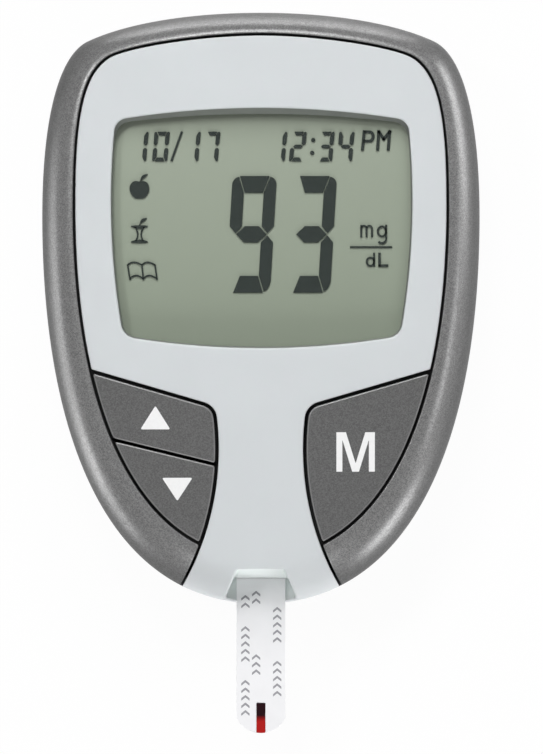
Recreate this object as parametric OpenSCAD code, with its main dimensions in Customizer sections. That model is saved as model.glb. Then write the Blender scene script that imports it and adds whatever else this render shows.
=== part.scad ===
// Blood glucose meter: a palm-size egg-shaped meter that lies on its back, with a test strip in its port.
// +Z points out of the display, +Y to the top end of the meter. The origin is on the resting face.

/* [Body] */
// Width of the body at its widest
body_w = 57; // [56:0.25:60]
// Length of the body, without the test strip
body_l = 77; // [76:0.25:81]
// Thickness from the resting face to the top of the crown
body_t = 19; // [18.7:0.1:20.5]
// Height of the parting plane between the rear case and the front
part_z = 8; // [7.8:0.1:8.4]
// Wall of the moulded shells
wall = 1.5; // [1.2:0.05:1.6]
// Height of the widest point above the middle of the body
wide_y = 12; // [10:0.5:14]
// How far the rear case's edge rounding reaches in from the outline
rear_round = 7; // [5:0.25:8]

/* [Face] */
// Width of the grey trim at the sides
band_side = 4.2; // [3.9:0.1:4.6]
// Width of the grey trim at the top
band_top = 2.9; // [2.8:0.1:3.3]
// Length of the rolled nose below the face
band_nose = 6; // [5.4:0.1:6.6]
// Radius of the face's crown across the meter
crown_across = 200; // [170:5:300]
// Radius of the face's crown along the meter
crown_along = 500; // [400:10:800]
// Parting gap between the trim, the panel and the keys
gap = 0.34; // [0.24:0.02:0.4]

/* [Window] */
// Width of the panel beside the display window
panel_side = 4.7; // [4.5:0.1:6]
// Width of the panel above the display window
panel_top = 9.6; // [9.4:0.1:11]
// Distance from the window's bottom edge down to the keys' top edge at the trim
panel_low = 2.45; // [2.3:0.05:4]
// Corner radius of the display window
window_corner = 1.5; // [0.8:0.1:3]
// Depth of the lens below the top of the crown
window_depth = 1.9; // [1.8:0.05:2.1]
// How far the lens reaches under the panel
lens_lap = 1.2; // [0.9:0.05:1.3]
// Thickness of the lens
lens_t = 0.95; // [0.7:0.05:1.1]

/* [Display] */
// Thickness of each of the two display glasses
glass_t = 0.6; // [0.5:0.05:0.7]
// Thickness of the front polariser
polariser_t = 0.15; // [0.1:0.05:0.25]
// Thickness of the reflector behind the display
reflector_t = 0.2; // [0.1:0.05:0.3]
// Thickness of the foam gasket under the lens
gasket_t = 0.4; // [0.3:0.05:0.6]
// How far the glasses reach past the window at each side
glass_side = 1; // [0.6:0.1:1.1]
// How far the front glass reaches past the window, top and bottom
glass_lap = 1.4; // [1.2:0.1:1.5]
// How far the rear glass stops short of the front glass, at each end
glass_ledge = 2.4; // [2:0.1:2.8]
// Thickness of each elastomer connector
zebra_t = 1.8; // [1.4:0.1:2]

/* [Keys] */
// Half width of the panel's neck between the keys
neck_half = 5.65; // [5.4:0.05:6]
// Distance from the face's lower end up to the narrowest point of the neck
neck_up = 14.2; // [13.5:0.1:15]
// Radius of the neck's two side arcs
neck_r = 36; // [33:0.5:42]
// Distance from the face's lower end up to the keys' top edge at the trim
key_l = 25; // [24.5:0.1:25.2]
// Slope of the keys' top edge
key_top_angle = 16.2; // [15:0.2:18]
// Radius of the keys' corner at the neck
key_corner = 2.3; // [1.5:0.1:3]
// Distance from the face's lower end up to the left keys' split at the trim
split_up = 16.65; // [16:0.05:17.1]
// Slope of the split
split_angle = 13.7; // [12:0.1:15]
// How far a key travels
key_travel = 0.5; // [0.3:0.05:0.55]
// Thickness of a key's retaining flange
flange_t = 0.6; // [0.5:0.05:0.65]
// How far the flange reaches past the key
flange_lap = 0.35; // [0.25:0.05:0.4]
// Radius of a key's post
post_r = 1.5; // [1.2:0.1:1.7]

/* [Chassis and board] */
// Thickness of the chassis plate
chassis_t = 1.2; // [1:0.1:1.4]
// Thickness of the circuit board
board_t = 1; // [0.8:0.1:1.1]
// Clearance between the parting plane and the board
board_lift = 0.4; // [0.2:0.1:0.6]
// Width of a tactile switch
switch_w = 5.2; // [4.5:0.1:5.6]
// Height of a tactile switch's case
switch_h = 3; // [2.6:0.1:3.2]
// Radius of a switch plunger
plunger_r = 1.3; // [1:0.05:1.5]

/* [Battery] */
// Radius of a coin cell
cell_r = 10; // [9.8:0.05:10.1]
// Thickness of a coin cell
cell_t = 3.2; // [3:0.05:3.25]
// Distance of each cell's centre from the centre line
cell_dx = 10.6; // [10.5:0.05:10.8]
// Distance from the body's top end down to the cells' centres
cell_down = 25; // [24:0.25:25.5]
// Half width of the battery door
door_half = 21.4; // [21.2:0.05:21.7]
// How far the battery door reaches below the cells
door_past = 1.9; // [1.5:0.1:2.1]
// Thickness of the battery door
door_t = 1.4; // [1.2:0.05:1.5]
// Height of the door's curled end
door_lip = 5; // [4:0.1:5.6]
// Clearance round the battery door
door_gap = 0.15; // [0.1:0.01:0.2]
// Depth of the door's side tongues
tongue = 0.7; // [0.5:0.05:0.8]

/* [Strip port] */
// Width of a test strip
strip_w = 6.35; // [5.5:0.05:6.6]
// Length of a test strip
strip_l = 29.3; // [27:0.1:33]
// Thickness of the strip's base
strip_t = 0.35; // [0.25:0.01:0.4]
// Thickness of the strip's lid
lid_t = 0.1; // [0.05:0.01:0.14]
// How far the strip goes into the port
strip_in = 9; // [8:0.1:9.4]
// Height of the strip above the board
strip_lift = 1; // [0.8:0.05:1.2]
// Clearance round the strip in its slot
strip_gap = 0.15; // [0.1:0.01:0.2]
// Depth of the port's notch, from the tip of the nose
notch_deep = 4.5; // [4:0.05:4.6]
// Half width of the notch at its inner end
notch_in = 3.45; // [3.4:0.05:3.8]
// Half width of the notch at the nose
notch_out = 4.85; // [4.4:0.05:5.2]
// How far the notch's end wall leans, from the strip to the face
notch_lean = 1; // [0.6:0.05:1.2]

/* [Fasteners and jack] */
// Radius of a case screw's thread
screw_r = 0.7; // [0.5:0.05:0.8]
// Radius of a case screw's head
head_r = 1.5; // [1.3:0.05:1.7]
// Height of a case screw's head
head_h = 1.2; // [0.9:0.1:1.4]
// Radius of the data jack's bore
jack_r = 1.3; // [1.1:0.05:1.5]
// Depth of the data jack's bore
jack_deep = 11; // [9:0.5:12]
// Distance of the data jack below the middle of the body
jack_down = 8; // [7:0.25:9]

/* [Label] */
// Width of the rating label
label_w = 24; // [16:0.5:26]
// Length of the rating label
label_l = 15; // [10:0.5:16]
// Thickness of the rating label
label_t = 0.15; // [0.1:0.01:0.3]
// Distance from the nose up to the label's centre
label_up = 24.5; // [24:0.25:26]

/* [Hidden] */
$fn = 48;
eps = 0.01;
far = 60;

// Shape of the outlines: spline handles, and the shoulder's place from the body's corner
spline_n = 12;
top_handle = 10.2;
shoulder_in = [5.9, 3.75];
shoulder_angle = 25.5;
shoulder_handles = [5, 3.9];
side_handles = [13.5, 29];
nose_handle = 19.8;
face_top_handle = 7.65;
face_shoulder_in = [4.45, 3];
face_shoulder_angle = 32.6;
face_shoulder_handles = [2.6, 4.3];
face_side_handles = [10.6, 28.7];
face_nose_handle = 15;
face_wide_up = 1.3;
back_top_handle = 7.6;
back_shoulder_in = [4.6, 3];
back_shoulder_angle = 30;
back_shoulder_handles = [3.5, 3.5];
back_side_handles = [10, 23];
back_nose_handle = 14;
round_steps = 6;
crown_y = 5;
crown_rings = [0.75, 0.5, 0.25];

// Places that follow from the body: face, window, keys, cells and door
face_half = body_w / 2 - band_side;
face_top = body_l / 2 - band_top;
face_low = band_nose - body_l / 2;
key_top_y = face_low + key_l;
split_y = face_low + split_up;
neck_y = face_low + neck_up;
window_half = face_half - panel_side;
window_top = face_top - panel_top;
window_low = key_top_y + panel_low;
window_mid = (window_top + window_low) / 2;
glass_half = window_half + glass_side;
cell_y = body_l / 2 - cell_down;
door_y = cell_y - cell_r - door_past;
jack_y = -jack_down;
label_y = label_up - body_l / 2;

// Window edges: radii of the long arcs
window_top_r = 115;
window_low_r = 105;
window_side_r = 97;
window_side_up = 3.5;

// Ends of the display glasses and places of the elastomer connectors
glass_low = window_low - glass_lap;
glass_high = window_top + glass_lap;
zebra_half = glass_half - 1.2;
zebra_low_y = glass_low + glass_ledge / 2;
zebra_high_y = glass_high - glass_ledge / 2;
zebra_clear = 0.1;

// Heights of the display stack, from the lens down to the chassis
lens_top = body_t - window_depth;
lens_z = lens_top - lens_t;
gasket_z = lens_z - gasket_t;
polariser_z = gasket_z - polariser_t;
front_glass_z = polariser_z - glass_t;
rear_glass_z = front_glass_z - glass_t;
reflector_z = rear_glass_z - reflector_t;
chassis_top = reflector_z;
chassis_z = chassis_top - chassis_t;
key_clear = 0.15;
skirt_z = chassis_top + key_travel + flange_t + 2 * key_clear;

// Heights of the board and what stands on it
board_z = part_z + board_lift;
board_top = board_z + board_t;
board_inset = wall + 1.5;
board_low_y = face_low + 0.5;
strip_z = board_top + strip_lift;
strip_top = strip_z + strip_t + lid_t;

// Heights of the battery bay
cell_gap = 0.25;
cell_z = door_t + door_gap + cell_gap;
contact_t = 0.3;
contact_room = 0.65;
bay_ceiling = cell_z + cell_t + contact_room;
bay_top = bay_ceiling + 0.9;
bay_wall = 1.4;
backing_t = 0.9;
bay_half = cell_dx + cell_r + cell_gap + bay_wall;
bay_low_y = cell_y - cell_r - cell_gap - bay_wall;
bay_high_y = cell_y + cell_r + cell_gap + bay_wall;
contact_tabs = [-cell_dx - 6, cell_dx + 6];
leaf_w = 3;
tongue_start = door_y + 2;
tongue_end = cell_y + cell_r - 1.5;

// Finger grip on the door
grip_count = 5;
grip_pitch = 1.6;
grip_half = 6;
grip_w = 0.7;
grip_deep = 0.35;

// Keys
skirt_t = 1;
flange_top = skirt_z - key_clear;
flange_z = flange_top - flange_t;
key_skin = 1.1;
key_ceiling = flange_top + 0.7;
key_edge_r = 0.3;
post_z = chassis_top - 0.3;
plunger_z = board_top + switch_h - 1.1;
up_at = [-neck_half - 7.95, face_low + 17.9];
down_at = [-neck_half - 5.75, face_low + 9.7];
memory_at = [neck_half + 7.15, face_low + 14.9];

// Parts on the board
chip_h = 1.4;
controller_w = 10;
memory_w = 5;
memory_l = 4;
crystal_x = 8.5;
crystal_r = 1.6;
crystal_l = 4.8;
crystal_h = 2.2;
buzzer_r = 5;
buzzer_h = 2.4;
small_part = [1.6, 0.8, 0.6];
small_pitch = 1.9;

// Strip port
strip_mouth_y = notch_deep - notch_lean - body_l / 2;
strip_end_y = strip_mouth_y + strip_in;
strip_tip_y = strip_end_y - strip_l;
connector_half = strip_w / 2 + 1.6;
port_wall_y = strip_mouth_y + notch_lean + 1.1;
connector_y = [port_wall_y + 0.15, strip_end_y + 3.6];
connector_h = strip_lift + 2.2;
contact_pitch = 1.1;
lid_end_y = strip_end_y - 4.6;
sample_w = 1.05;
sample_l = 3.9;

// Screws
screw_at = [[16, body_l / 2 - 8.5], [9.2, 8.5 - body_l / 2]];
screw_seat_z = 3.8;
screw_end_z = chassis_z - 0.5;
boss_r = 2.3;
screw_clear = 0.06;

// Data jack
jack_z = board_z - 2.7;
jack_w = 5.6;
jack_h = 5.4;
jack_collar_r = jack_r + 0.7;
jack_face_x = body_w / 2 - 3.4;
jack_body_x = jack_face_x - 3.6;
jack_in_x = jack_face_x - jack_deep - 1;

// Colours
c_panel = [0.84, 0.86, 0.88];
c_trim = [0.48, 0.48, 0.48];
c_key = [0.36, 0.36, 0.37];
c_rear = [0.25, 0.25, 0.27];
c_black = [0.07, 0.07, 0.08];
c_steel = [0.72, 0.72, 0.74];
c_gold = [0.85, 0.68, 0.35];
c_board = [0.1, 0.36, 0.2];
c_lcd = [0.58, 0.62, 0.53];

// ---------- outlines ----------

// n points along a cubic curve, without its end
function curve(a, b, c, d, n) = [for (i = [0 : n - 1]) let (t = i / n)
  pow(1 - t, 3) * a + 3 * pow(1 - t, 2) * t * b + 3 * (1 - t) * t * t * c + pow(t, 3) * d];

// Egg outline, clockwise from its top centre
function egg(half, top, low, wide, top_h, shoulder, angle, handles, sides, low_h) =
  let (
    along = [cos(angle), -sin(angle)],
    right = concat(
      curve([0, top], [top_h, top], shoulder - handles[0] * along, shoulder, spline_n),
      curve(shoulder, shoulder + handles[1] * along, [half, wide + sides[0]], [half, wide], spline_n),
      curve([half, wide], [half, wide - sides[1]], [low_h, low], [0, low], spline_n),
      [[0, low]]
    )
  )
  concat(right, [for (i = [len(right) - 2 : -1 : 1]) [-right[i].x, right[i].y]]);

// A convex outline moved inwards by d
function inset(p, d) = [for (i = [0 : len(p) - 1])
  let (n = len(p), s = p[(i + 1) % n] - p[(i + n - 1) % n], l = norm(s))
  p[i] + d * [s.y, -s.x] / l];

outline = egg(body_w / 2, body_l / 2, -body_l / 2, wide_y, top_handle,
  [body_w / 2 - shoulder_in.x, body_l / 2 - shoulder_in.y], shoulder_angle, shoulder_handles,
  side_handles, nose_handle);

face = egg(face_half, face_top, face_low, wide_y + face_wide_up, face_top_handle,
  [face_half - face_shoulder_in.x, face_top - face_shoulder_in.y], face_shoulder_angle,
  face_shoulder_handles, face_side_handles, face_nose_handle);

back_half = body_w / 2 - rear_round;
back_top = body_l / 2 - rear_round;
back = egg(back_half, back_top, -back_top, wide_y, back_top_handle,
  [back_half - back_shoulder_in.x, back_top - back_shoulder_in.y], back_shoulder_angle,
  back_shoulder_handles, back_side_handles, back_nose_handle);

function crown(p) = body_t - p.x * p.x / (2 * crown_across) - pow(p.y - crown_y, 2) / (2 * crown_along);
function lift(p, z) = [p.x, p.y, z];
function mix(a, b, u) = a + (b - a) * u;

// ---------- lofted shells ----------

// Closed solid through a stack of clockwise loops, with a flat top or a peak
module skin(loops, peak = undef) {
  n = len(loops[0]);
  m = len(loops);
  sides = [for (k = [0 : m - 2], i = [0 : n - 1])
    let (j = (i + 1) % n, a = k * n + i, b = k * n + j)
    each [[a, b, b + n], [a, b + n, a + n]]];
  bottom = [[for (i = [n - 1 : -1 : 0]) i]];
  top = is_undef(peak)
    ? [[for (i = [0 : n - 1]) (m - 1) * n + i]]
    : [for (i = [0 : n - 1]) [(m - 1) * n + i, (m - 1) * n + (i + 1) % n, m * n]];
  points = concat([for (l = loops) each l], is_undef(peak) ? [] : [peak]);
  polyhedron(points, concat(bottom, sides, top));
}

// Front of the body: from the parting plane over the rolled edge to the crown, thinned by d
module front_solid(d = 0) {
  base = inset(outline, d);
  edge = [for (k = [0 : round_steps]) let (a = 90 * k / round_steps)
    [for (i = [0 : len(base) - 1]) let (z = crown(face[i]) - d)
      lift(mix(base[i], face[i], 1 - cos(a)), part_z + (z - part_z) * sin(a))]];
  dome = [for (f = crown_rings) [for (p = face) let (q = mix([0, crown_y], p, f)) lift(q, crown(q) - d)]];
  foot = [[for (p = base) lift(p, part_z - eps)]];
  skin(concat(d > 0 ? foot : [], edge, dome), lift([0, crown_y], body_t - d));
}

// Rear of the body: from its flat back over the edge rounding to the parting plane, thinned by d
module rear_solid(d = 0) {
  base = inset(outline, d);
  levels = [for (k = [round_steps : -1 : 0]) let (a = 90 * k / round_steps)
    [for (i = [0 : len(base) - 1])
      lift(mix(base[i], back[i], 1 - cos(a)), d + (part_z - d) * (1 - sin(a)))]];
  skin(concat(levels, d > 0 ? [[for (p = base) lift(p, part_z + eps)]] : []));
}

module slab(z0, z1) {
  translate([0, 0, z0]) linear_extrude(z1 - z0) children();
}

module box(x, y, z) {
  translate([x[0], y[0], z[0]]) cube([x[1] - x[0], y[1] - y[0], z[1] - z[0]]);
}

module both_sides() {
  children();
  mirror([1, 0, 0]) children();
}

// ---------- flat shapes of the face ----------

// Display window, grown by g
module window_shape(g = 0) {
  c = window_corner + g;
  offset(r = c) intersection() {
    translate([0, window_top + g - window_top_r]) circle(window_top_r - c, $fn = 240);
    translate([0, window_low - g + window_low_r]) circle(window_low_r - c, $fn = 240);
    window_side(g, c);
    mirror([1, 0]) window_side(g, c);
  }
}

module window_side(g, c) {
  translate([window_half + g - window_side_r, window_mid + window_side_up])
    circle(window_side_r - c, $fn = 200);
}

// Everything on the right that is key or trim, and not panel, grown by g
module key_side(g = 0) {
  c = key_corner;
  offset(r = c) intersection() {
    translate([neck_half + neck_r, neck_y]) circle(neck_r + g - c, $fn = 180);
    translate([face_half, key_top_y]) rotate(key_top_angle)
      translate([-far, g - c - 2 * far]) square(2 * far);
  }
}

// Below the split between the left keys, on the left side, moved up by g
module below_split(g = 0) {
  translate([-face_half, split_y]) rotate(-split_angle)
    translate([-far, g - 2 * far]) square(2 * far);
}

// One key's outline on the right, grown by g, before any split
module key_shape(g = 0) {
  offset(r = key_edge_r) offset(delta = g - key_edge_r) intersection() {
    polygon(inset(face, gap / 2));
    key_side(-gap / 2);
  }
}

module up_shape(g = 0) {
  offset(r = key_edge_r) offset(delta = -key_edge_r) difference() {
    mirror([1, 0]) key_shape(g);
    below_split(gap / 2);
  }
}

module down_shape(g = 0) {
  offset(r = key_edge_r) offset(delta = -key_edge_r) intersection() {
    mirror([1, 0]) key_shape(g);
    below_split(-gap / 2);
  }
}

// Panel outline: the face and the nose, less the keys' sides
module panel_shape(g = 0) {
  difference() {
    union() {
      polygon(inset(face, gap / 2 - g));
      intersection() {
        polygon(outline);
        translate([-far, -far]) square([2 * far, far + neck_y - 6]);
      }
    }
    key_side(gap / 2 - g);
    mirror([1, 0]) key_side(gap / 2 - g);
  }
}

module nose_strip() {
  difference() {
    translate([-far, -far]) square([2 * far, far + neck_y]);
    for (s = [-1, 1])
      translate([s * (neck_half + neck_r), neck_y]) circle(neck_r - gap / 2, $fn = 180);
  }
}

// ---------- housing ----------

// Space that the battery door fills, grown by g
module door_space(g = 0) {
  box([-door_half - g, door_half + g], [door_y - g, far], [-1, door_lip + g]);
}

// Tongues on the door's sides, or with g the grooves that they run in, open at the top end
module door_tongues(g = 0, end = tongue_end) {
  both_sides() box([door_half - 1, door_half + tongue + g], [tongue_start - g, end],
    [door_t - tongue - g, door_t + g]);
}

module cell_pockets() {
  both_sides() translate([cell_dx, cell_y, 0]) cylinder(r = cell_r + cell_gap, h = bay_ceiling);
}

module contact_slots() {
  box([-0.75, 0.75], [cell_y - 3.6, cell_y + 3.6], [door_t, bay_ceiling]);
  box([-bay_half + 0.9, -cell_dx], [cell_y - 2.3, cell_y + 2.3], [door_t, bay_ceiling]);
  for (x = contact_tabs)
    box([x - 1.2, x + 1.2], [cell_y - 0.4, cell_y + 0.4], [bay_ceiling - eps, bay_top + eps]);
}

module screw_places() {
  for (at = screw_at) both_sides() translate([at.x, at.y, 0]) children();
}

module rear_case() color(c_rear) {
  back_d = door_t + door_gap;
  step = door_gap + 1.2;
  difference() {
    union() {
      difference() {
        rear_solid();
        difference() {
          rear_solid(wall);
          door_space(step);
        }
        intersection() {
          rear_solid(back_d + backing_t);
          door_space(step + eps);
        }
      }
      box([-bay_half, bay_half], [bay_low_y, bay_high_y], [back_d, bay_top]);
      screw_places() translate([0, 0, back_d]) cylinder(r = boss_r, h = board_z - back_d);
    }
    difference() {
      door_space(door_gap);
      rear_solid(back_d);
    }
    cell_pockets();
    contact_slots();
    door_tongues(door_gap, far);
    screw_places() {
      translate([0, 0, -1]) cylinder(r = head_r + 0.2, h = screw_seat_z + 1);
      cylinder(r = screw_r + 0.2, h = far);
    }
    translate([jack_body_x, jack_y, jack_z]) rotate([0, 90, 0]) cylinder(r = jack_collar_r + 0.2, h = far);
    box([-label_w / 2 - 0.06, label_w / 2 + 0.06], label_span(0.06), [-1, label_t]);
  }
}

module battery_door() color(c_rear) {
  difference() {
    union() {
      intersection() {
        difference() {
          rear_solid();
          rear_solid(door_t);
          box([-far, far], [-far, tongue_end], [door_t, far]);
        }
        door_space();
      }
      door_tongues();
    }
    for (i = [0 : grip_count - 1]) let (y = door_y + grip_pitch * (i + 2))
      box([-grip_half, grip_half], [y, y + grip_w], [-1, grip_deep]);
  }
}

// Grey trim: one section of shell and inner skirt, carried round the body, open at the nose
module trim_ring() color(c_trim) {
  inner = inset(outline, wall);
  outer_part = [for (k = [0 : round_steps]) 90 * k / round_steps];
  inner_part = [for (k = [round_steps - 1 : -1 : 0]) 75 * k / (round_steps - 1)];
  sections = [for (i = [0 : len(outline) - 1])
    let (
      top = crown(face[i]),
      band = norm(outline[i] - face[i]),
      lip = mix(face[i], outline[i], gap / 2 / band),
      back = mix(face[i], outline[i], (gap / 2 + skirt_t) / band),
      low = top - wall
    )
    concat(
      [for (a = outer_part) lift(mix(outline[i], lip, 1 - cos(a)), part_z + (top - part_z) * sin(a))],
      [lift(lip, skirt_z), lift(back, skirt_z)],
      [for (a = inner_part) lift(mix(inner[i], back, 1 - cos(a)), part_z + (low - part_z) * sin(a))]
    )];
  difference() {
    ring_of(sections);
    slab(-1, far) nose_strip();
  }
}

// Closed ring through sections that all have the same number of points
module ring_of(sections) {
  n = len(sections[0]);
  m = len(sections);
  faces = [for (i = [0 : m - 1], k = [0 : n - 1])
    let (j = (i + 1) % m, l = (k + 1) % n, a = i * n + k, b = i * n + l, c = j * n + l, d = j * n + k)
    each [[a, c, b], [a, d, c]]];
  polyhedron([for (s = sections) each s], faces);
}

// Wedge over the strip's mouth, with leaning end wall and flared sides
module notch() {
  r = 0.6;
  floor_z = strip_z - strip_gap;
  lean = notch_lean * (body_t - floor_z) / (crown([0, strip_mouth_y]) - floor_z);
  past = 3;
  slope = (notch_out - notch_in) / (body_l / 2 + strip_mouth_y);
  hull() both_sides() {
    translate([notch_in - r, strip_mouth_y - r, floor_z]) cylinder(r = r, h = eps);
    translate([notch_in - slope * lean - r, strip_mouth_y - r + lean, body_t]) cylinder(r = r, h = eps);
    translate([notch_out + slope * past - r, -body_l / 2 - past, floor_z])
      cylinder(r = r, h = body_t - floor_z);
  }
}

module strip_slot() {
  box([-strip_w / 2 - strip_gap, strip_w / 2 + strip_gap], [strip_mouth_y - 1, far],
    [strip_z - strip_gap, strip_top + strip_gap]);
}

module front_panel() color(c_panel) {
  frame_t = 1;
  difference() {
    union() {
      difference() {
        intersection() {
          front_solid();
          slab(part_z, far) panel_shape();
        }
        front_solid(wall);
      }
      intersection() {
        front_solid();
        union() {
          slab(skirt_z, far) difference() {
            panel_shape();
            offset(delta = -skirt_t) panel_shape();
            translate([-far, -far]) square([2 * far, far - body_l / 2 + band_nose]);
          }
          slab(lens_z, far) window_shape(lens_lap + 0.1 + frame_t);
          slab(part_z, far) intersection() {
            panel_shape();
            translate([-notch_out - 1.4, -far]) square([2 * notch_out + 2.8, far + port_wall_y]);
          }
        }
      }
    }
    slab(-1, lens_top) window_shape(lens_lap + 0.1);
    slab(-1, far) window_shape();
    notch();
    strip_slot();
  }
}

module display_lens() color([0.85, 0.9, 0.9, 0.35])
  slab(lens_z, lens_top) window_shape(lens_lap);

module lens_gasket() color(c_black)
  slab(gasket_z, lens_z) difference() {
    window_shape(lens_lap - 0.1);
    window_shape(0.25);
  }

// ---------- display stack ----------

module glass_plate(z0, z1, back = 0) {
  box([-glass_half, glass_half], [glass_low + back, glass_high - back], [z0, z1]);
}

module lcd_polariser() color(c_lcd) glass_plate(polariser_z, gasket_z, 0.6);
module lcd_front_glass() color([0.8, 0.86, 0.84, 0.5]) glass_plate(front_glass_z, polariser_z);
module lcd_rear_glass() color([0.8, 0.86, 0.84, 0.5]) glass_plate(rear_glass_z, front_glass_z, glass_ledge);
module lcd_reflector() color([0.7, 0.72, 0.66]) glass_plate(reflector_z, rear_glass_z, glass_ledge);

// Elastomer connector from the board up to the front glass, at one end
module zebra(y) {
  box([-zebra_half, zebra_half], [y - zebra_t / 2, y + zebra_t / 2], [board_top, front_glass_z]);
}

module upper_zebra_strip() color([0.5, 0.52, 0.55]) zebra(zebra_high_y);
module lower_zebra_strip() color([0.5, 0.52, 0.55]) zebra(zebra_low_y);

// ---------- chassis ----------

module chassis() color(c_black) {
  fence = 0.7;
  fence_gap = 0.15;
  rim_low_y = key_top_y + 1.4;
  difference() {
    union() {
      slab(chassis_z, chassis_top) intersection() {
        polygon(inset(face, -0.5));
        translate([-far, strip_mouth_y + notch_lean + 2.2]) square(2 * far);
      }
      slab(chassis_top, skirt_z) intersection() {
        difference() {
          polygon(inset(face, -0.5));
          polygon(inset(face, skirt_t + gap / 2));
        }
        translate([-far, rim_low_y]) square(2 * far);
      }
      for (s = [-1, 1])
        translate([s * (neck_half - gap / 2 - 0.9), 0, 0])
          box([-0.35, 0.35], [neck_y - 5, neck_y + 5], [chassis_top, skirt_z]);
      slab(chassis_top, rear_glass_z) difference() {
        translate([-glass_half - fence_gap - fence, glass_low - fence_gap - fence])
          square([2 * (glass_half + fence_gap + fence), glass_high - glass_low + 2 * (fence_gap + fence)]);
        translate([-glass_half - fence_gap, glass_low - fence_gap])
          square([2 * (glass_half + fence_gap), glass_high - glass_low + 2 * fence_gap]);
      }
      screw_places() translate([0, 0, board_top]) cylinder(r = boss_r, h = chassis_z - board_top + eps);
    }
    for (y = [zebra_low_y, zebra_high_y])
      box([-zebra_half - zebra_clear, zebra_half + zebra_clear],
        [y - zebra_t / 2 - zebra_clear, y + zebra_t / 2 + zebra_clear], [-1, chassis_top + eps]);
    for (at = [up_at, down_at, memory_at])
      translate([at.x, at.y, -1]) cylinder(r = post_r + 0.4, h = far);
    screw_places() cylinder(r = screw_r + screw_clear, h = chassis_z + 0.4);
  }
}

// ---------- keys ----------

// One key cap: crowned top, hollow underside, retaining flange and a post over its switch
module key_cap(at, kind) {
  union() {
    difference() {
      intersection() {
        front_solid();
        slab(flange_top - eps, far) key_outline(kind, 0);
      }
      slab(-1, key_ceiling) offset(delta = -key_skin) key_outline(kind, 0);
    }
    slab(flange_z, flange_top) difference() {
      key_outline(kind, flange_lap);
      offset(delta = -key_skin) key_outline(kind, 0);
    }
    translate([at.x, at.y, post_z]) cylinder(r = post_r, h = key_ceiling + 0.3 - post_z);
  }
}

module key_outline(kind, g) {
  if (kind == "up") up_shape(g);
  if (kind == "down") down_shape(g);
  if (kind == "memory") key_shape(g);
}

module up_key() color(c_key) key_cap(up_at, "up");
module down_key() color(c_key) key_cap(down_at, "down");
module memory_key() color(c_key) key_cap(memory_at, "memory");

// Tactile switch: case with a blind bore for its plunger
module switch_case(at) color(c_black) {
  translate([at.x, at.y, board_top]) difference() {
    translate([-switch_w / 2, -switch_w / 2, 0]) cube([switch_w, switch_w, switch_h]);
    translate([0, 0, switch_h - 1.8]) cylinder(r = plunger_r + 0.05, h = 3);
  }
}

module plunger(at) color([0.8, 0.78, 0.7])
  translate([at.x, at.y, plunger_z]) cylinder(r = plunger_r, h = post_z - plunger_z);

module up_switch() switch_case(up_at);
module down_switch() switch_case(down_at);
module memory_switch() switch_case(memory_at);
module up_plunger() plunger(up_at);
module down_plunger() plunger(down_at);
module memory_plunger() plunger(memory_at);

// ---------- board ----------

module main_board() color(c_board) difference() {
  slab(board_z, board_top) intersection() {
    polygon(inset(outline, board_inset));
    translate([-far, board_low_y]) square(2 * far);
  }
  screw_places() translate([0, 0, board_z - 1]) cylinder(r = screw_r + 0.2, h = 4);
}

// Chip with gull-wing leads on two or four sides
module chip(size, leads, pitch, sides) {
  lead = [0.35, 0.9, 0.3];
  translate([-size.x / 2, -size.y / 2, 0.1]) cube([size.x, size.y, size.z - 0.1]);
  for (a = sides)
    rotate(a) for (i = [0 : leads - 1])
      translate([(i - (leads - 1) / 2) * pitch - lead.x / 2, size.y / 2 - 0.1, 0]) cube(lead);
}

module microcontroller() color(c_black)
  translate([-controller_w + 2, zebra_low_y + zebra_t / 2 + 2.8 + controller_w / 2, board_top])
    chip([controller_w, controller_w, chip_h], 12, 0.75, [0, 90, 180, 270]);

module memory_chip() color(c_black)
  translate([crystal_x, window_mid + 3.5, board_top]) chip([memory_w, memory_l, chip_h], 4, 1.27, [0, 180]);

module clock_crystal() color(c_steel)
  translate([crystal_x, window_mid - 5.5, board_top]) {
    for (s = [-1, 1]) translate([s * crystal_l / 2, 0, 0]) cylinder(r = crystal_r, h = crystal_h);
    translate([-crystal_l / 2, -crystal_r, 0]) cube([crystal_l, 2 * crystal_r, crystal_h]);
  }

module buzzer() color(c_black)
  translate([-buzzer_r - 5.5, neck_y + 5.3, board_z - buzzer_h]) difference() {
    cylinder(r = buzzer_r, h = buzzer_h);
    translate([0, 0, -1]) cylinder(r = 0.8, h = 2);
  }

// Rows of small parts just below the upper elastomer connector
module chip_components() color([0.55, 0.48, 0.4])
  for (row = [1 : 3], i = [0 : 5])
    translate([-14 + i * small_part.x * 2, zebra_high_y - zebra_t / 2 - 2 - row * small_pitch, board_top])
      cube(small_part);

module data_jack() color(c_black) difference() {
  union() {
    box([jack_in_x, jack_body_x], [jack_y - jack_w / 2, jack_y + jack_w / 2], [board_z - jack_h, board_z]);
    translate([jack_body_x - eps, jack_y, jack_z]) rotate([0, 90, 0])
      cylinder(r = jack_collar_r, h = jack_face_x - jack_body_x + eps);
  }
  translate([jack_face_x - jack_deep, jack_y, jack_z]) rotate([0, 90, 0]) cylinder(r = jack_r, h = far);
}

// ---------- strip port ----------

module strip_connector() color(c_black) {
  y0 = connector_y[0];
  y1 = connector_y[1];
  difference() {
    box([-connector_half, connector_half], [y0, y1], [board_top, board_top + connector_h]);
    box([-strip_w / 2 - strip_gap, strip_w / 2 + strip_gap], [y0 - 1, strip_end_y + 0.2],
      [strip_z - strip_gap, strip_top + strip_gap]);
    box([-strip_w / 2, strip_w / 2], [y0 + 1.2, y1 + 1], [strip_z, board_top + connector_h - 0.6]);
  }
}

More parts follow.
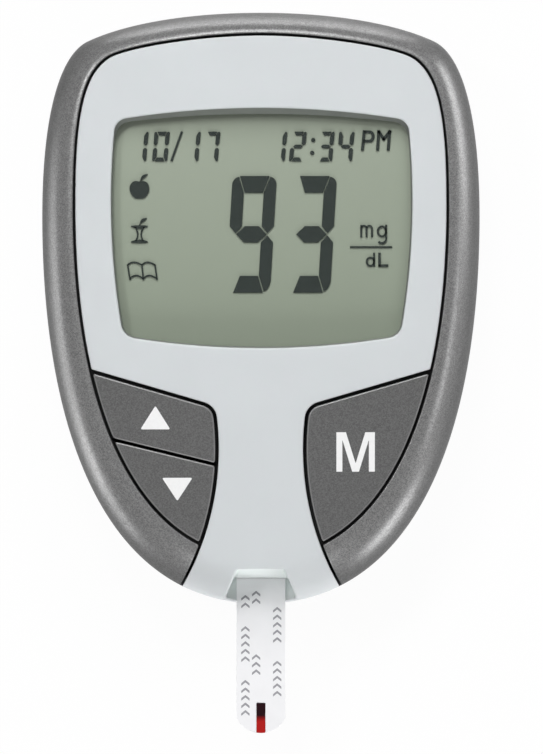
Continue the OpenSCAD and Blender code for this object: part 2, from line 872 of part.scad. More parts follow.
// Spring leaves that press on the strip's electrodes, with tails to the board
module strip_contacts() color(c_gold) {
  low = strip_z + strip_t + 0.08;
  high = board_top + connector_h - 0.9;
  leaf = 0.2;
  spot = strip_end_y - 2.2;
  back = connector_y[1] + 0.1;
  for (i = [-2 : 2])
    translate([i * contact_pitch - 0.25, 0, 0]) rotate([90, 0, 90]) linear_extrude(0.5)
      polygon([
        [spot - 1.2, low + 0.6], [spot - 0.1, low], [spot + 0.1, low], [back - 1, high - leaf],
        [back, high - leaf], [back, board_top], [back + 0.8, board_top],
        [back + 0.8, board_top + leaf], [back + leaf, board_top + leaf],
        [back + leaf, high], [back - 1, high], [spot, low + leaf], [spot - 1.2, low + 0.6 + leaf]
      ]);
}

module strip_shape(end_y) {
  r = strip_w / 2;
  union() {
    translate([0, strip_tip_y + r]) circle(r);
    translate([-r, strip_tip_y + r]) square([strip_w, end_y - strip_tip_y - r]);
  }
}

module sample_shape() {
  translate([-sample_w / 2, strip_tip_y - 1]) square([sample_w, sample_l + 1]);
}

module strip_base() color([0.95, 0.95, 0.96])
  slab(strip_z, strip_z + strip_t) strip_shape(strip_end_y);

module strip_electrodes() color(c_gold)
  for (i = [-2 : 2])
    box([i * contact_pitch - 0.35, i * contact_pitch + 0.35], [lid_end_y, strip_end_y - 0.3],
      [strip_z + strip_t, strip_z + strip_t + 0.05]);

module strip_lid() color([0.95, 0.95, 0.96])
  slab(strip_z + strip_t, strip_top) difference() {
    strip_shape(lid_end_y);
    sample_shape();
  }

module sample_fill() color([0.35, 0.03, 0.04])
  slab(strip_z + strip_t, strip_top) intersection() {
    strip_shape(lid_end_y);
    sample_shape();
  }

// ---------- power ----------

module coin_cell(x) color(c_steel)
  translate([x, cell_y, cell_z]) {
    cylinder(r = cell_r, h = cell_t - 0.5);
    translate([0, 0, cell_t - 0.5 - eps]) cylinder(r = cell_r - 1.2, h = 0.5 + eps);
  }

module left_coin_cell() coin_cell(-cell_dx);
module right_coin_cell() coin_cell(cell_dx);

// Leaf on the bay's ceiling over the cell at x, with a tab to the board if tab is its place
module ceiling_leaf(x, tab) {
  top = bay_ceiling - 0.02;
  side = sign(tab - x);
  box([min(x - side * 2, tab + side * 1), max(x - side * 2, tab + side * 1)],
    [cell_y - leaf_w / 2, cell_y + leaf_w / 2],
    [top - contact_t, top]);
  translate([x, cell_y, cell_z + cell_t + 0.03]) cylinder(r = 1.2, h = top - cell_z - cell_t - 0.1);
}

module tab_to_board(x) {
  box([x - 1, x + 1], [cell_y - 0.15, cell_y + 0.15], [bay_ceiling - contact_t - 0.02, board_z]);
}

module negative_contact() color(c_steel) {
  ceiling_leaf(cell_dx, contact_tabs[1]);
  tab_to_board(contact_tabs[1]);
}

module link_contact() color(c_steel) {
  top = bay_ceiling - 0.02;
  arm_x = cell_dx - cell_r - 0.05;
  translate([-cell_dx, cell_y, cell_z + cell_t + 0.03]) cylinder(r = 1.2, h = top - cell_z - cell_t - 0.1);
  box([-cell_dx - 2, arm_x], [cell_y + 0.6, cell_y + 3], [top - contact_t, top]);
  box([-cell_dx - 2, -cell_dx + 2], [cell_y - 1.5, cell_y + 3], [top - contact_t, top]);
  box([arm_x - contact_t, arm_x], [cell_y - 3, cell_y + 3], [cell_z + 0.4, top]);
}

module positive_contact() color(c_steel) {
  top = bay_ceiling - 0.02;
  plate_x = -cell_dx - cell_r - 0.05;
  box([plate_x - contact_t, plate_x], [cell_y - 2, cell_y + 2], [cell_z + 0.4, top]);
  box([plate_x - contact_t, contact_tabs[0] + 1], [cell_y - 2, cell_y - 0.15], [top - contact_t, top]);
  box([contact_tabs[0] - 1, contact_tabs[0] + 1], [cell_y - 0.3, cell_y + 0.1], [top - contact_t, board_z]);
}

// ---------- fasteners and label ----------

module case_screws() color(c_steel)
  screw_places() difference() {
    union() {
      translate([0, 0, screw_seat_z - head_h]) cylinder(r = head_r, h = head_h);
      cylinder_between(screw_r, screw_seat_z - eps, screw_end_z);
    }
    for (a = [0, 90]) rotate(a)
      box([-0.9, 0.9], [-0.22, 0.22], [screw_seat_z - head_h - 1, screw_seat_z - head_h + 0.6]);
  }

module cylinder_between(r, z0, z1) {
  translate([0, 0, z0]) cylinder(r = r, h = z1 - z0);
}

function label_span(g) = [label_y - label_l / 2 - g, label_y + label_l / 2 + g];

module rating_label() color([0.9, 0.9, 0.88])
  box([-label_w / 2, label_w / 2], label_span(0), [0, label_t]);

rear_case();
battery_door();
trim_ring();
front_panel();
display_lens();
up_key();
down_key();
memory_key();
rating_label();
case_screws();
lens_gasket();
lcd_polariser();
lcd_front_glass();
lcd_rear_glass();
lcd_reflector();
upper_zebra_strip();
lower_zebra_strip();
chassis();
main_board();
microcontroller();
memory_chip();
clock_crystal();
buzzer();
chip_components();
data_jack();
strip_connector();
strip_contacts();
up_switch();
down_switch();
memory_switch();
up_plunger();
down_plunger();
memory_plunger();
left_coin_cell();
right_coin_cell();
positive_contact();
link_contact();
negative_contact();
strip_base();
strip_electrodes();
strip_lid();
sample_fill();
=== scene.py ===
"""Looks of a blood glucose meter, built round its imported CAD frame.

Sizes are in millimetres, in the frame's axes, until a mesh is made. Each outer piece is a closed shell:
a flat outline on one side of the body, laid over that side's curve, with rounded edges.
"""

import math
from types import SimpleNamespace

import bpy
import numpy as np
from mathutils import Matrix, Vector
from mathutils.geometry import delaunay_2d_cdt
from mathutils.kdtree import KDTree


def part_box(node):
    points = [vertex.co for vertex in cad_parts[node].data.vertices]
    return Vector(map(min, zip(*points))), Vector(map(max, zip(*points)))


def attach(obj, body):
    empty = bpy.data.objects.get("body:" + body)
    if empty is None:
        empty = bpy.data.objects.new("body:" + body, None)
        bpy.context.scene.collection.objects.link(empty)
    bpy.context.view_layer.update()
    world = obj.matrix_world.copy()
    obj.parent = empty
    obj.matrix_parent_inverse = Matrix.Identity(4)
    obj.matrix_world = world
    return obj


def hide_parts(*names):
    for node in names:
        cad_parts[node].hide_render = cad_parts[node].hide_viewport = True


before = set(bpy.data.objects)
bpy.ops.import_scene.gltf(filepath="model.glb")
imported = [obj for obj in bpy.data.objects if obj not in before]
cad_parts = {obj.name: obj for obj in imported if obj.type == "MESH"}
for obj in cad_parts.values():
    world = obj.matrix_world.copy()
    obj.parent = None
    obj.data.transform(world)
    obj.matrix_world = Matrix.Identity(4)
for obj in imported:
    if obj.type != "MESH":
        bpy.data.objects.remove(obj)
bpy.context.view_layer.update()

MM = 0.001
TAU = 2 * math.pi


# ---------- sizes from the frame ----------


def corners(node):
    """Lowest and highest corner of a CAD node, in millimetres."""
    low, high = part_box(node)
    return np.array(low) / MM, np.array(high) / MM


def xyz(v):
    return SimpleNamespace(x=float(v[0]), y=float(v[1]), z=float(v[2]))


def span(node):
    low, high = corners(node)
    return xyz(low), xyz(high)


case_high = span("rear_case")[1]
lens_low, lens_high = span("display_lens")
film_low, film_high = span("lcd_polariser")
label_low, label_high = span("rating_label")
door_low, door_high = span("battery_door")
base_low, base_high = span("strip_base")
lid_low, lid_high = span("strip_lid")
cell_low, cell_high = span("right_coin_cell")

# In the names below, ROUND is an edge's radius, CORNER and TIP are those of corners in an outline, T is a
# thickness, GAP and INSET are clearances, and LAP is an overlap.

# Keeps the shells inside the CAD's box
BOX_MARGIN = 0.005
HALF_W = case_high.x - BOX_MARGIN
HALF_L = case_high.y
PART_Z = span("trim_ring")[0].z
GAP = 0.34
WALL = 1.5
PANEL_ROUND = 0.2
PANEL_TIP = 0.3
TRIM_ROUND = 0.16
TRIM_TIP = 0.22
# Just short of the parting line, as a share of the way
ALMOST = 0.9999

# Outlines, with the same handles as the CAD's
WIDE_Y = 12.0
BAND_SIDE = 4.2
BAND_TOP = 2.9
BAND_NOSE = 6.0
REAR_ROUND = 7.0
CROWN_T = 19.0
CROWN_Y = 5.0
CROWN_ACROSS = 200.0
CROWN_ALONG = 500.0
CENTRE = np.array([0.0, CROWN_Y])

FACE_HALF = HALF_W - BAND_SIDE
FACE_TOP = HALF_L - BAND_TOP
FACE_LOW = BAND_NOSE - HALF_L

# Window
LENS_LAP = 1.2
WINDOW_X = 0.1
WINDOW_DROP = 0.16
WINDOW_TOP_R = 115.0
WINDOW_LOW_R = 105.0
WINDOW_SIDE_R = 97.0
WINDOW_CORNER = 1.5
WINDOW_SIDE_UP = 3.5
WINDOW_MIDDLE = np.array([0.0, 10.5])
WINDOW_ROUND = 0.26
WINDOW_LEAN = 0.22
WINDOW_TOP_LEAN = 0.55
WINDOW_TOP_FROM = 5.0
LEAN_FADE = 3.0

# Keys
NECK_HALF = 5.65
NECK_R = 36.0
NECK_Y = FACE_LOW + 14.2
# Well past the parting line
NECK_END = math.radians(225)
KEY_SLOPE = math.radians(16.2)
KEY_ANCHOR = np.array([FACE_HALF, FACE_LOW + 25.0])
KEY_CORNER = 2.3
SPLIT_SLOPE = math.radians(13.7)
SPLIT_ANCHOR = np.array([FACE_HALF, FACE_LOW + 16.65])
KEY_INSET = 0.1
SPLIT_INSET = 0.02
RIM_INSET = 0.06
KEY_TIP = 0.16
KEY_T = 1.4
KEY_ROUND = 0.2
FLANGE_Z = (14.85, 15.45)
FLANGE_LAP = 0.35
POST_R = 1.5
POST_LAP = 1.6

# Strip port
MOUTH_Y = 3.5 - HALF_L
NOTCH_FLOOR = base_low.z - 0.15
NOTCH_HALF = 3.45
NOTCH_FLARE = 0.4
NOTCH_LEAN = 1.25
NOTCH_ROUND = 0.42
NOTCH_CORNER = 0.55
SILL_T = 1.6
SILL_LAP = 0.2
SLOT_DEEP = 2.1
MOUTH_LIP = 0.3
NOTCH_TOP = MOUTH_Y - MOUTH_LIP + NOTCH_LEAN
SLOT_TOP = lid_high.z + 0.15

# Rear
DOOR_GAP = 0.15
DOOR_T = 1.4
DOOR_LIP_Z = 5.0
DOOR_HALF = 21.4
DOOR_CORNER = 0.8
DOOR_ROUND = 0.25
RAIL_Y = (3.6, 22.0)
RAIL_Z = 0.7
BAY_CEILING = 5.65
BAY_HALF = 22.25
BAY_Y = (1.85, 25.15)
BAY_WALL = 0.9
BAY_LAP = 1.1
BAY_ROUND = 0.05
POCKET_ROUND = 0.15
CELL_R = (cell_high.x - cell_low.x) / 2
CELL_X = (cell_high.x + cell_low.x) / 2
CELL_Y = (cell_high.y + cell_low.y) / 2
CELL_GAP = 0.25
# Middle in X, half width and half length of the contacts' slots beside the cells
LINK_SLOT = (0.0, 0.75, 3.6)
END_SLOT = (-16.0, 5.35, 2.3)
CASE_ROUND = 0.14
HOLE_ROUND = 0.2
LABEL_GAP = 0.06
LABEL_LAP = 0.4
LABEL_CORNER = 0.8
LABEL_ROUND = 0.03
HIGH_SCREWS = (16.0, HALF_L - 8.5)
LOW_SCREWS = (9.2, 8.5 - HALF_L)
SCREW_HOLE_R = 1.7
SCREW_SEAT_Z = 3.8
SCREW_POST_R = 2.3
SCREW_POST_TOP = 8.4
JACK_Y = -8.0
JACK_Z = 5.7
JACK_HOLE_R = 2.07
JACK_ROUND = 0.1
GRIP_COUNT = 5
GRIP_PITCH = 1.6
GRIP_HALF = 6.0
GRIP_W = 0.7
GRIP_DEEP = 0.35
GRIP_ROUND = 0.14


# ---------- flat outlines ----------


def unit(angle):
    return np.column_stack([np.cos(angle), np.sin(angle)])


def cubic(a, b, c, d, n=80):
    t = np.linspace(0, 1, n, endpoint=False)[:, None]
    a, b, c, d = (np.asarray(p, float) for p in (a, b, c, d))
    return (1 - t) ** 3 * a + 3 * (1 - t) ** 2 * t * b + 3 * (1 - t) * t**2 * c + t**3 * d


def egg(half, top, low, wide, top_handle, shoulder_in, angle, handles, sides, low_handle):
    """Egg outline, clockwise from its top centre, widest at height wide.

    shoulder_in says how far in from its box's corner the shoulder lies, and angle how steep it is there. The
    other values are the lengths of the curves' handles.
    """
    s = np.array([half - shoulder_in[0], top - shoulder_in[1]])
    along = np.array([math.cos(math.radians(angle)), -math.sin(math.radians(angle))])
    right = np.concatenate(
        [
            cubic((0, top), (top_handle, top), s - handles[0] * along, s),
            cubic(s, s + handles[1] * along, (half, wide + sides[0]), (half, wide)),
            cubic((half, wide), (half, wide - sides[1]), (low_handle, low), (0, low)),
            [[0, low]],
        ]
    )
    return np.concatenate([right, right[-2:0:-1] * (-1, 1)])


OUTLINE = egg(
    HALF_W, HALF_L, -HALF_L, WIDE_Y, top_handle=10.2, shoulder_in=(5.9, 3.75), angle=25.5,
    handles=(5, 3.9), sides=(13.5, 29), low_handle=19.8
)
FACE = egg(
    FACE_HALF, FACE_TOP, FACE_LOW, WIDE_Y + 1.3, top_handle=7.65, shoulder_in=(4.45, 3), angle=32.6,
    handles=(2.6, 4.3), sides=(10.6, 28.7), low_handle=15
)
BACK_TOP = HALF_L - REAR_ROUND
BACK = egg(
    HALF_W - REAR_ROUND, BACK_TOP, -BACK_TOP, WIDE_Y, top_handle=7.6, shoulder_in=(4.6, 3), angle=30,
    handles=(3.5, 3.5), sides=(10, 23), low_handle=14
)


def crown(p):
    return CROWN_T - p[:, 0] ** 2 / (2 * CROWN_ACROSS) - (p[:, 1] - CROWN_Y) ** 2 / (2 * CROWN_ALONG)


def flat_back(p):
    return np.zeros(len(p))


def walk(points, step):
    """The same open line with points about step apart."""
    points = np.asarray(points, float)
    along = np.concatenate([[0], np.cumsum(np.linalg.norm(np.diff(points, axis=0), axis=1))])
    at = np.linspace(0, along[-1], max(2, int(round(along[-1] / step)) + 1))
    return np.column_stack([np.interp(at, along, points[:, i]) for i in (0, 1)])


def chain(*lines, step=0.4):
    """A closed loop through lines that follow each other, each walked at step, with no point twice."""
    loop = np.concatenate([walk(line, step) for line in lines])
    keep = np.linalg.norm(loop - np.roll(loop, 1, axis=0), axis=1) > 0.02
    return loop[keep]


def soften(loop, radius, sharp=0.35):
    """The same closed loop with its sharp corners rounded."""
    step = np.roll(loop, -1, axis=0) - loop
    size = np.linalg.norm(step, axis=1)
    heading = np.arctan2(step[:, 1], step[:, 0])
    turn = (heading - np.roll(heading, 1) + math.pi) % TAU - math.pi
    at = np.concatenate([[0], np.cumsum(size)])
    total = at[-1]

    def on_loop(s):
        closed = np.concatenate([loop, loop[:1]])
        return np.array([np.interp(s % total, at, closed[:, i]) for i in (0, 1)])

    keep = np.ones(len(loop), bool)
    added = []
    for i in np.flatnonzero(np.abs(turn) > sharp):
        cut = radius * math.tan(min(abs(turn[i]), 2.6) / 2)
        away = np.abs((at[:-1] - at[i] + total / 2) % total - total / 2)
        keep &= away > cut * 1.15
        a, b = on_loop(at[i] - cut), on_loop(at[i] + cut)
        for k, t in enumerate(np.linspace(0, 1, 7)):
            spot = (1 - t) ** 2 * a + 2 * t * (1 - t) * loop[i] + t**2 * b
            added.append(((at[i] + cut * (2 * t - 1)) % total, *spot))
    kept = [(at[i], *loop[i]) for i in np.flatnonzero(keep)]
    return np.array([p[1:] for p in sorted(kept + added)])


def round_max(a, b, radius, cosine):
    """Distance outside both shapes, with their shared corner rounded.

    cosine is that of the angle between their normals.
    """
    a, b = a + radius, b + radius
    corner = (a > b * cosine) & (b > a * cosine) & (np.maximum(a, b) > 0)
    inside = np.maximum(a, b)
    reach = np.sqrt(np.maximum(a * a + b * b - 2 * a * b * cosine, 0)) / math.sqrt(1 - cosine**2)
    return np.where(corner, reach, inside) - radius


def star_loop(distance, centre, reach=60.0, step=0.4):
    """Counter-clockwise loop where distance changes sign, seen from centre."""
    rays = unit(np.linspace(0, TAU, 1400, endpoint=False))
    near, far = np.zeros(len(rays)), np.full(len(rays), reach)
    for _ in range(40):
        middle = (near + far) / 2
        inside = distance(centre + rays * middle[:, None]) < 0
        near, far = np.where(inside, middle, near), np.where(inside, far, middle)
    loop = centre + rays * near[:, None]
    return walk(np.concatenate([loop, loop[:1]]), step)[:-1]


def circle_loop(centre, radius, n=40):
    return np.asarray(centre, float) + radius * unit(np.linspace(0, TAU, n, endpoint=False))


def mirrored(line):
    """The same line on the other side, so that a closed one still goes the same way round."""
    return line[::-1] * (-1, 1)


def both_sides(lines):
    """Lines that follow each other on the right, then their mirror images back to the start."""
    return lines + [mirrored(line) for line in lines[::-1]]


def ccw(loop):
    """The same closed loop, counter-clockwise."""
    ahead = np.roll(loop, -1, axis=0)
    area = np.sum(loop[:, 0] * ahead[:, 1] - ahead[:, 0] * loop[:, 1])
    return loop if area > 0 else loop[::-1]


def polygon(points, radius=0.0, step=0.3):
    """Counter-clockwise loop through corners, rounded by radius."""
    points = np.asarray(points, float)
    loop = ccw(chain(*zip(points, np.roll(points, -1, axis=0)), step=step))
    return soften(loop, radius) if radius else loop


def box_loop(x, y, radius=0.0, step=0.3):
    return polygon([(x[0], y[0]), (x[1], y[0]), (x[1], y[1]), (x[0], y[1])], radius, step)


# ---------- curved sides of the body ----------


def lookup(table, phi, share):
    """table's value between its rows, at angles phi, and its columns, at shares from 0 to 1."""
    rows, columns = table.shape
    i = phi / TAU * (rows - 1)
    j = np.clip(share, 0, 1) * (columns - 1)
    i0 = np.minimum(i.astype(int), rows - 2)
    j0 = np.minimum(j.astype(int), columns - 2)
    a, b = i - i0, j - j0
    low = table[i0, j0] * (1 - a) + table[i0 + 1, j0] * a
    high = table[i0, j0 + 1] * (1 - a) + table[i0 + 1, j0 + 1] * a
    return low * (1 - b) + high * b


class Skin:
    """One side of the body, unrolled about CENTRE.

    Inside its rim a flat point is (x, y) itself. Past the rim the distance from CENTRE goes on along a
    quarter ellipse, down to the parting line.
    """

    def __init__(self, rim, height, side, soft=0.4):
        self.height, self.side, self.soft = height, side, soft
        self.phi = np.linspace(0, TAU, 721)
        self.rim = self._distances(rim)
        self.reach = self._distances(OUTLINE) - self.rim
        self.rim_z = height(CENTRE + self.rim[:, None] * unit(self.phi))
        turn = np.linspace(0, math.pi / 2, 65)
        middle = (turn[1:] + turn[:-1]) / 2
        rise = np.abs(self.rim_z - PART_Z)[:, None]
        speed = np.hypot(self.reach[:, None] * np.cos(middle), rise * np.sin(middle))
        along = np.cumsum(speed * turn[1], axis=1)
        along = np.concatenate([np.zeros((len(along), 1)), along], axis=1)
        self.length = along[:, -1]
        share = np.linspace(0, 1, 65)
        self.turn = np.array([np.interp(share * row[-1], row, turn) for row in along])
        self.share = along / self.length[:, None]

    def _distances(self, loop):
        away = loop - CENTRE
        angle = np.arctan2(away[:, 1], away[:, 0]) % TAU
        order = np.argsort(angle)
        return np.interp(self.phi, angle[order], np.linalg.norm(away, axis=1)[order], period=TAU)

    def at_angles(self, phi, *tables):
        """Each table's values at angles phi about CENTRE."""
        return [np.interp(phi, self.phi, t) for t in tables]

    def polar(self, q):
        """Angles and distances of points about CENTRE."""
        away = np.asarray(q, float) - CENTRE
        return np.arctan2(away[:, 1], away[:, 0]) % TAU, np.linalg.norm(away, axis=1)

    def point(self, q):
        phi, distance = self.polar(q)
        rim, reach, length, rim_z = self.at_angles(phi, self.rim, self.reach, self.length, self.rim_z)
        past = distance - rim
        turn = lookup(self.turn, phi, past / length)
        rho = np.where(past <= 0, distance, rim + reach * np.sin(turn))
        xy = CENTRE + rho[:, None] * unit(phi)
        rolled = PART_Z + (rim_z - PART_Z) * np.cos(turn)
        z = np.where(past <= 0, self.height(xy), rolled)
        return np.column_stack([xy, z - self.side * np.maximum(past - length, 0)])

    def normal(self, q):
        step = self.soft
        across = self.point(q + (step, 0)) - self.point(q - (step, 0))
        along = self.point(q + (0, step)) - self.point(q - (0, step))
        return unit3(self.side * np.cross(across, along))

    def flat(self, xy):
        """Flat points of body points (x, y) on this side."""
        phi, distance = self.polar(xy)
        rim, reach, length = self.at_angles(phi, self.rim, self.reach, self.length)
        turn = np.arcsin(np.clip((distance - rim) / reach, 0, 1))
        past = lookup(self.share, phi, turn / (math.pi / 2)) * length
        return CENTRE + np.where(distance <= rim, distance, rim + past)[:, None] * unit(phi)

    def level(self, phi, z):
        """Flat points at height z past the rim, at angles phi."""
        phi = np.asarray(phi, float) % TAU
        rim, length, rim_z = self.at_angles(phi, self.rim, self.length, self.rim_z)
        turn = np.arccos(np.clip((z - PART_Z) / (rim_z - PART_Z), -1, 1))
        return CENTRE + (rim + lookup(self.share, phi, turn / (math.pi / 2)) * length)[:, None] * unit(phi)

    def parting(self, phi):
        return self.level(phi, PART_Z)

    def beside_rim(self, phi, distance):
        """Flat points that far outside the rim, or inside it if negative."""
        phi = np.asarray(phi, float) % TAU
        (rim,) = self.at_angles(phi, self.rim)
        return CENTRE + (rim + distance)[:, None] * unit(phi)

    def from_rim(self, q):
        phi, distance = self.polar(q)
        return distance - self.at_angles(phi, self.rim)[0]


class Level:
    """A flat side at height z."""

    def __init__(self, z, side=1):
        self.z, self.side = z, side

    def point(self, q):
        return np.column_stack([q, np.full(len(q), float(self.z))])

    def normal(self, q):
        return np.tile((0.0, 0.0, float(self.side)), (len(q), 1))


class Raised:
    """Another side, moved out by lift."""

    def __init__(self, skin, lift):
        self.skin, self.lift, self.side = skin, lift, skin.side

    def point(self, q):
        return self.skin.point(q) + self.skin.normal(q) * self.lift

    def normal(self, q):
        return self.skin.normal(q)


def unit3(v):
    return v / np.maximum(np.linalg.norm(v, axis=1, keepdims=True), 1e-12)


# ---------- closed shells ----------


def inside_loops(points, loops):
    """Which points lie inside an odd number of the loops."""
    a = np.concatenate(loops)
    b = np.concatenate([np.roll(loop, -1, axis=0) for loop in loops])
    found = []
    for part in np.array_split(points, max(1, len(points) // 1500)):
        x, y = part[:, :1], part[:, 1:]
        crosses = (a[:, 1] > y) != (b[:, 1] > y)
        with np.errstate(divide="ignore", invalid="ignore"):
            at = a[:, 0] + (y - a[:, 1]) * (b[:, 0] - a[:, 0]) / (b[:, 1] - a[:, 1])
        found.append((crosses & (x < at)).sum(axis=1) % 2 == 1)
    return np.concatenate(found)


def fill_points(loops, spacing):
    """Points in a triangle grid inside the loops, clear of them."""
    low, high = loops[0].min(axis=0), loops[0].max(axis=0)
    row = spacing * math.sqrt(3) / 2
    ys = np.arange(low[1], high[1], row)
    xs = np.arange(low[0], high[0], spacing)
    grid = np.array([(x + spacing / 2 * (k % 2), y) for k, y in enumerate(ys) for x in xs]).reshape(-1, 2)
    grid = grid[inside_loops(grid, loops)] if len(grid) else grid
    edge = np.concatenate(loops)
    tree = KDTree(len(edge))
    for i, p in enumerate(edge):
        tree.insert((p[0], p[1], 0), i)
    tree.balance()
    clear = [tree.find((p[0], p[1], 0))[2] > spacing * 0.55 for p in grid]
    return grid[clear] if len(grid) else grid


def placed(name, data):
    """A new object in the scene."""
    made = bpy.data.objects.new(name, data)
    bpy.context.scene.collection.objects.link(made)
    return made


class Mesh:
    """Faces gathered from several closed parts, with a normal at each point."""

    def __init__(self):
        self.points, self.normals, self.faces, self.slots = [], [], [], []
        self.count = 0

    def put(self, points, normals):
        """Adds points, and returns the number of the first."""
        self.points.append(points)
        self.normals.append(normals)
        self.count += len(points)
        return self.count - len(points)

    def fill(self, faces, slot):
        self.faces += [tuple(int(i) for i in face) for face in faces]
        self.slots += [slot] * len(faces)

    def band(self, a, b, n, slot):
        """Adds the faces between two closed rows of n points, which start at a and at b."""
        self.fill([(a + i, a + (i + 1) % n, b + (i + 1) % n, b + i) for i in range(n)], slot)

    def build(self, name, materials, body, slot, *replaces):
        data = bpy.data.meshes.new(name)
        points = np.concatenate(self.points) * MM
        data.from_pydata([tuple(p) for p in points], [], self.faces, shade_flat=False)
        for finish in each(materials, 1):
            data.materials.append(finish)
        data.polygons.foreach_set("material_index", self.slots)
        data.normals_split_custom_set_from_vertices([tuple(n) for n in np.concatenate(self.normals)])
        made = placed(name, data)
        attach(made, body)
        if replaces:
            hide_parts(*replaces)


ROUND_ROWS = 4


def each(value, count):
    """value as a list of that many."""
    return list(value) if isinstance(value, (list, tuple)) else [value] * count


def wall(mesh, skin, q, radius, foot, slots):
    """Adds one loop's wall up from foot, and the rounded edge above it.

    Returns the flat line where the edge ends, the number of its first point, and that of the wall's
    lowest row.
    """
    along = np.roll(q, -1, axis=0) - np.roll(q, 1, axis=0)
    along /= np.maximum(np.linalg.norm(along, axis=1, keepdims=True), 1e-9)
    inward = np.column_stack([-along[:, 1], along[:, 0]])
    face_normal = skin.normal(q)
    outward = skin.point(q) - skin.point(q + inward * 0.05)
    outward -= face_normal * np.sum(outward * face_normal, axis=1, keepdims=True)
    outward = unit3(outward)
    lowest = before = mesh.put(foot, outward)
    for k in range(ROUND_ROWS + 1):
        turn = k / ROUND_ROWS * math.pi / 2
        at = q + inward * radius * (1 - math.cos(turn))
        up = skin.normal(at)
        place = skin.point(at) - up * radius * (1 - math.sin(turn))
        row = mesh.put(place, unit3(outward * math.cos(turn) + up * math.sin(turn)))
        mesh.band(before, row, len(q), slots[k > 0])
        before = row
    return at, before, lowest


def filled(loops, spacing):
    """Flat points and triangles inside the loops, and each point's number along all the loops, or -1."""
    flat = np.concatenate(loops + [fill_points(loops, spacing)])
    links, count = [], 0
    for loop in loops:
        links += [(count + i, count + (i + 1) % len(loop)) for i in range(len(loop))]
        count += len(loop)
    verts, _, triangles, origin, _, _ = delaunay_2d_cdt([Vector(p) for p in flat], links, [], 0, 1e-6)
    points = np.array([tuple(v) for v in verts])
    triangles = np.array(triangles)
    triangles = triangles[inside_loops(points[triangles].mean(axis=1), loops)]
    on_loop = [next((s for s in source if s < count), -1) for source in origin]
    return points, triangles, np.array(on_loop)


def shell(mesh, skin, loops, thick, edge=0.2, spacing=0.6, feet=None, slot=0, wall_slot=None, edge_slot=None):
    """Adds a closed shell to mesh: skin inside loops, its edges rounded by edge, and thick deep.

    The first loop is the outer one, counter-clockwise; the others are holes, clockwise. edge is one radius
    or one a loop, and wall_slot one material or one a loop; edge_slot is the rounded edges'. feet may give,
    by a loop's number, a function of its points that says where the bottom of its wall is.
    """
    first = len(mesh.faces)
    walls = each(slot if wall_slot is None else wall_slot, len(loops))
    rounded = slot if edge_slot is None else edge_slot
    made = []
    for number, (q, radius) in enumerate(zip(loops, each(edge, len(loops)))):
        under_skin = feet[number] if feet and number in feet else Raised(skin, -thick).point
        made.append(wall(mesh, skin, q, radius, under_skin(q), (walls[number], rounded)))

    flat, triangles, on_loop = filled([at for at, _, _ in made], spacing)
    rows = np.concatenate([np.arange(len(at)) + row for at, row, _ in made])
    top = np.where(on_loop < 0, -1, rows[on_loop])
    new = np.flatnonzero(top < 0)
    if len(new):
        top[new] = mesh.put(skin.point(flat[new]), skin.normal(flat[new])) + np.arange(len(new))
    mesh.fill(top[triangles], slot)

    under = skin.normal(flat)
    bottom = mesh.put(skin.point(flat) - under * thick, -under)
    mesh.fill(triangles[:, ::-1] + bottom, walls[0])
    below = {int(t): bottom + i for i, t in enumerate(top)}
    for at, row, lowest in made:
        ends = [(i, (i + 1) % len(at)) for i in range(len(at))]
        ends = [(i, j) for i, j in ends if row + i in below and row + j in below]
        mesh.fill([(below[row + i], below[row + j], lowest + j, lowest + i) for i, j in ends], walls[0])
    if skin.side < 0:
        mesh.faces[first:] = [face[::-1] for face in mesh.faces[first:]]


def plate(mesh, loops, low, high, edge=0.05, spacing=3.0, slot=0):
    """Adds a flat piece between two heights, its top edges rounded."""
    loops = loops if isinstance(loops, list) else [loops]
    shell(mesh, Level(high), loops, high - low, edge, spacing, slot=slot)


def block(mesh, x, y, z, edge=0.05):
    plate(mesh, box_loop(x, y, edge * 1.5, 1.0), z[0], z[1], edge)


def turned(mesh, centre, profile, n=96):
    """Adds a solid of revolution. profile is (radius, z) from the bottom centre to the top one."""
    profile = np.asarray(profile, float)
    ring_points = unit(np.linspace(0, TAU, n, endpoint=False))
    for a, b in zip(profile[:-1], profile[1:]):
        run, rise = (b - a) / max(np.linalg.norm(b - a), 1e-9)
        out = np.column_stack([rise * ring_points, np.full(n, -run)])
        rows = [mesh.put(np.column_stack([centre + r * ring_points, np.full(n, z)]), out) for r, z in (a, b)]
        mesh.band(*rows, n, 0)


FRONT = Skin(FACE, crown, 1)
PANEL = Skin(FACE, crown, 1, soft=1.2)
REAR = Skin(BACK, flat_back, -1)


# ---------- materials ----------


FLAKE_DEEP = 0.004


def srgb(r, g, b):
    """Linear colour from 0 to 255 values as a screen shows them."""
    line = [v / 255 for v in (r, g, b)]
    return [v / 12.92 if v <= 0.04045 else ((v + 0.055) / 1.055) ** 2.4 for v in line] + [1.0]


def sockets_of(made):
    """A material's node tree, its shader, and the socket of the place on the object."""
    tree = made.node_tree
    return tree, tree.nodes["Principled BSDF"], tree.nodes["Texture Coordinate"].outputs["Object"]


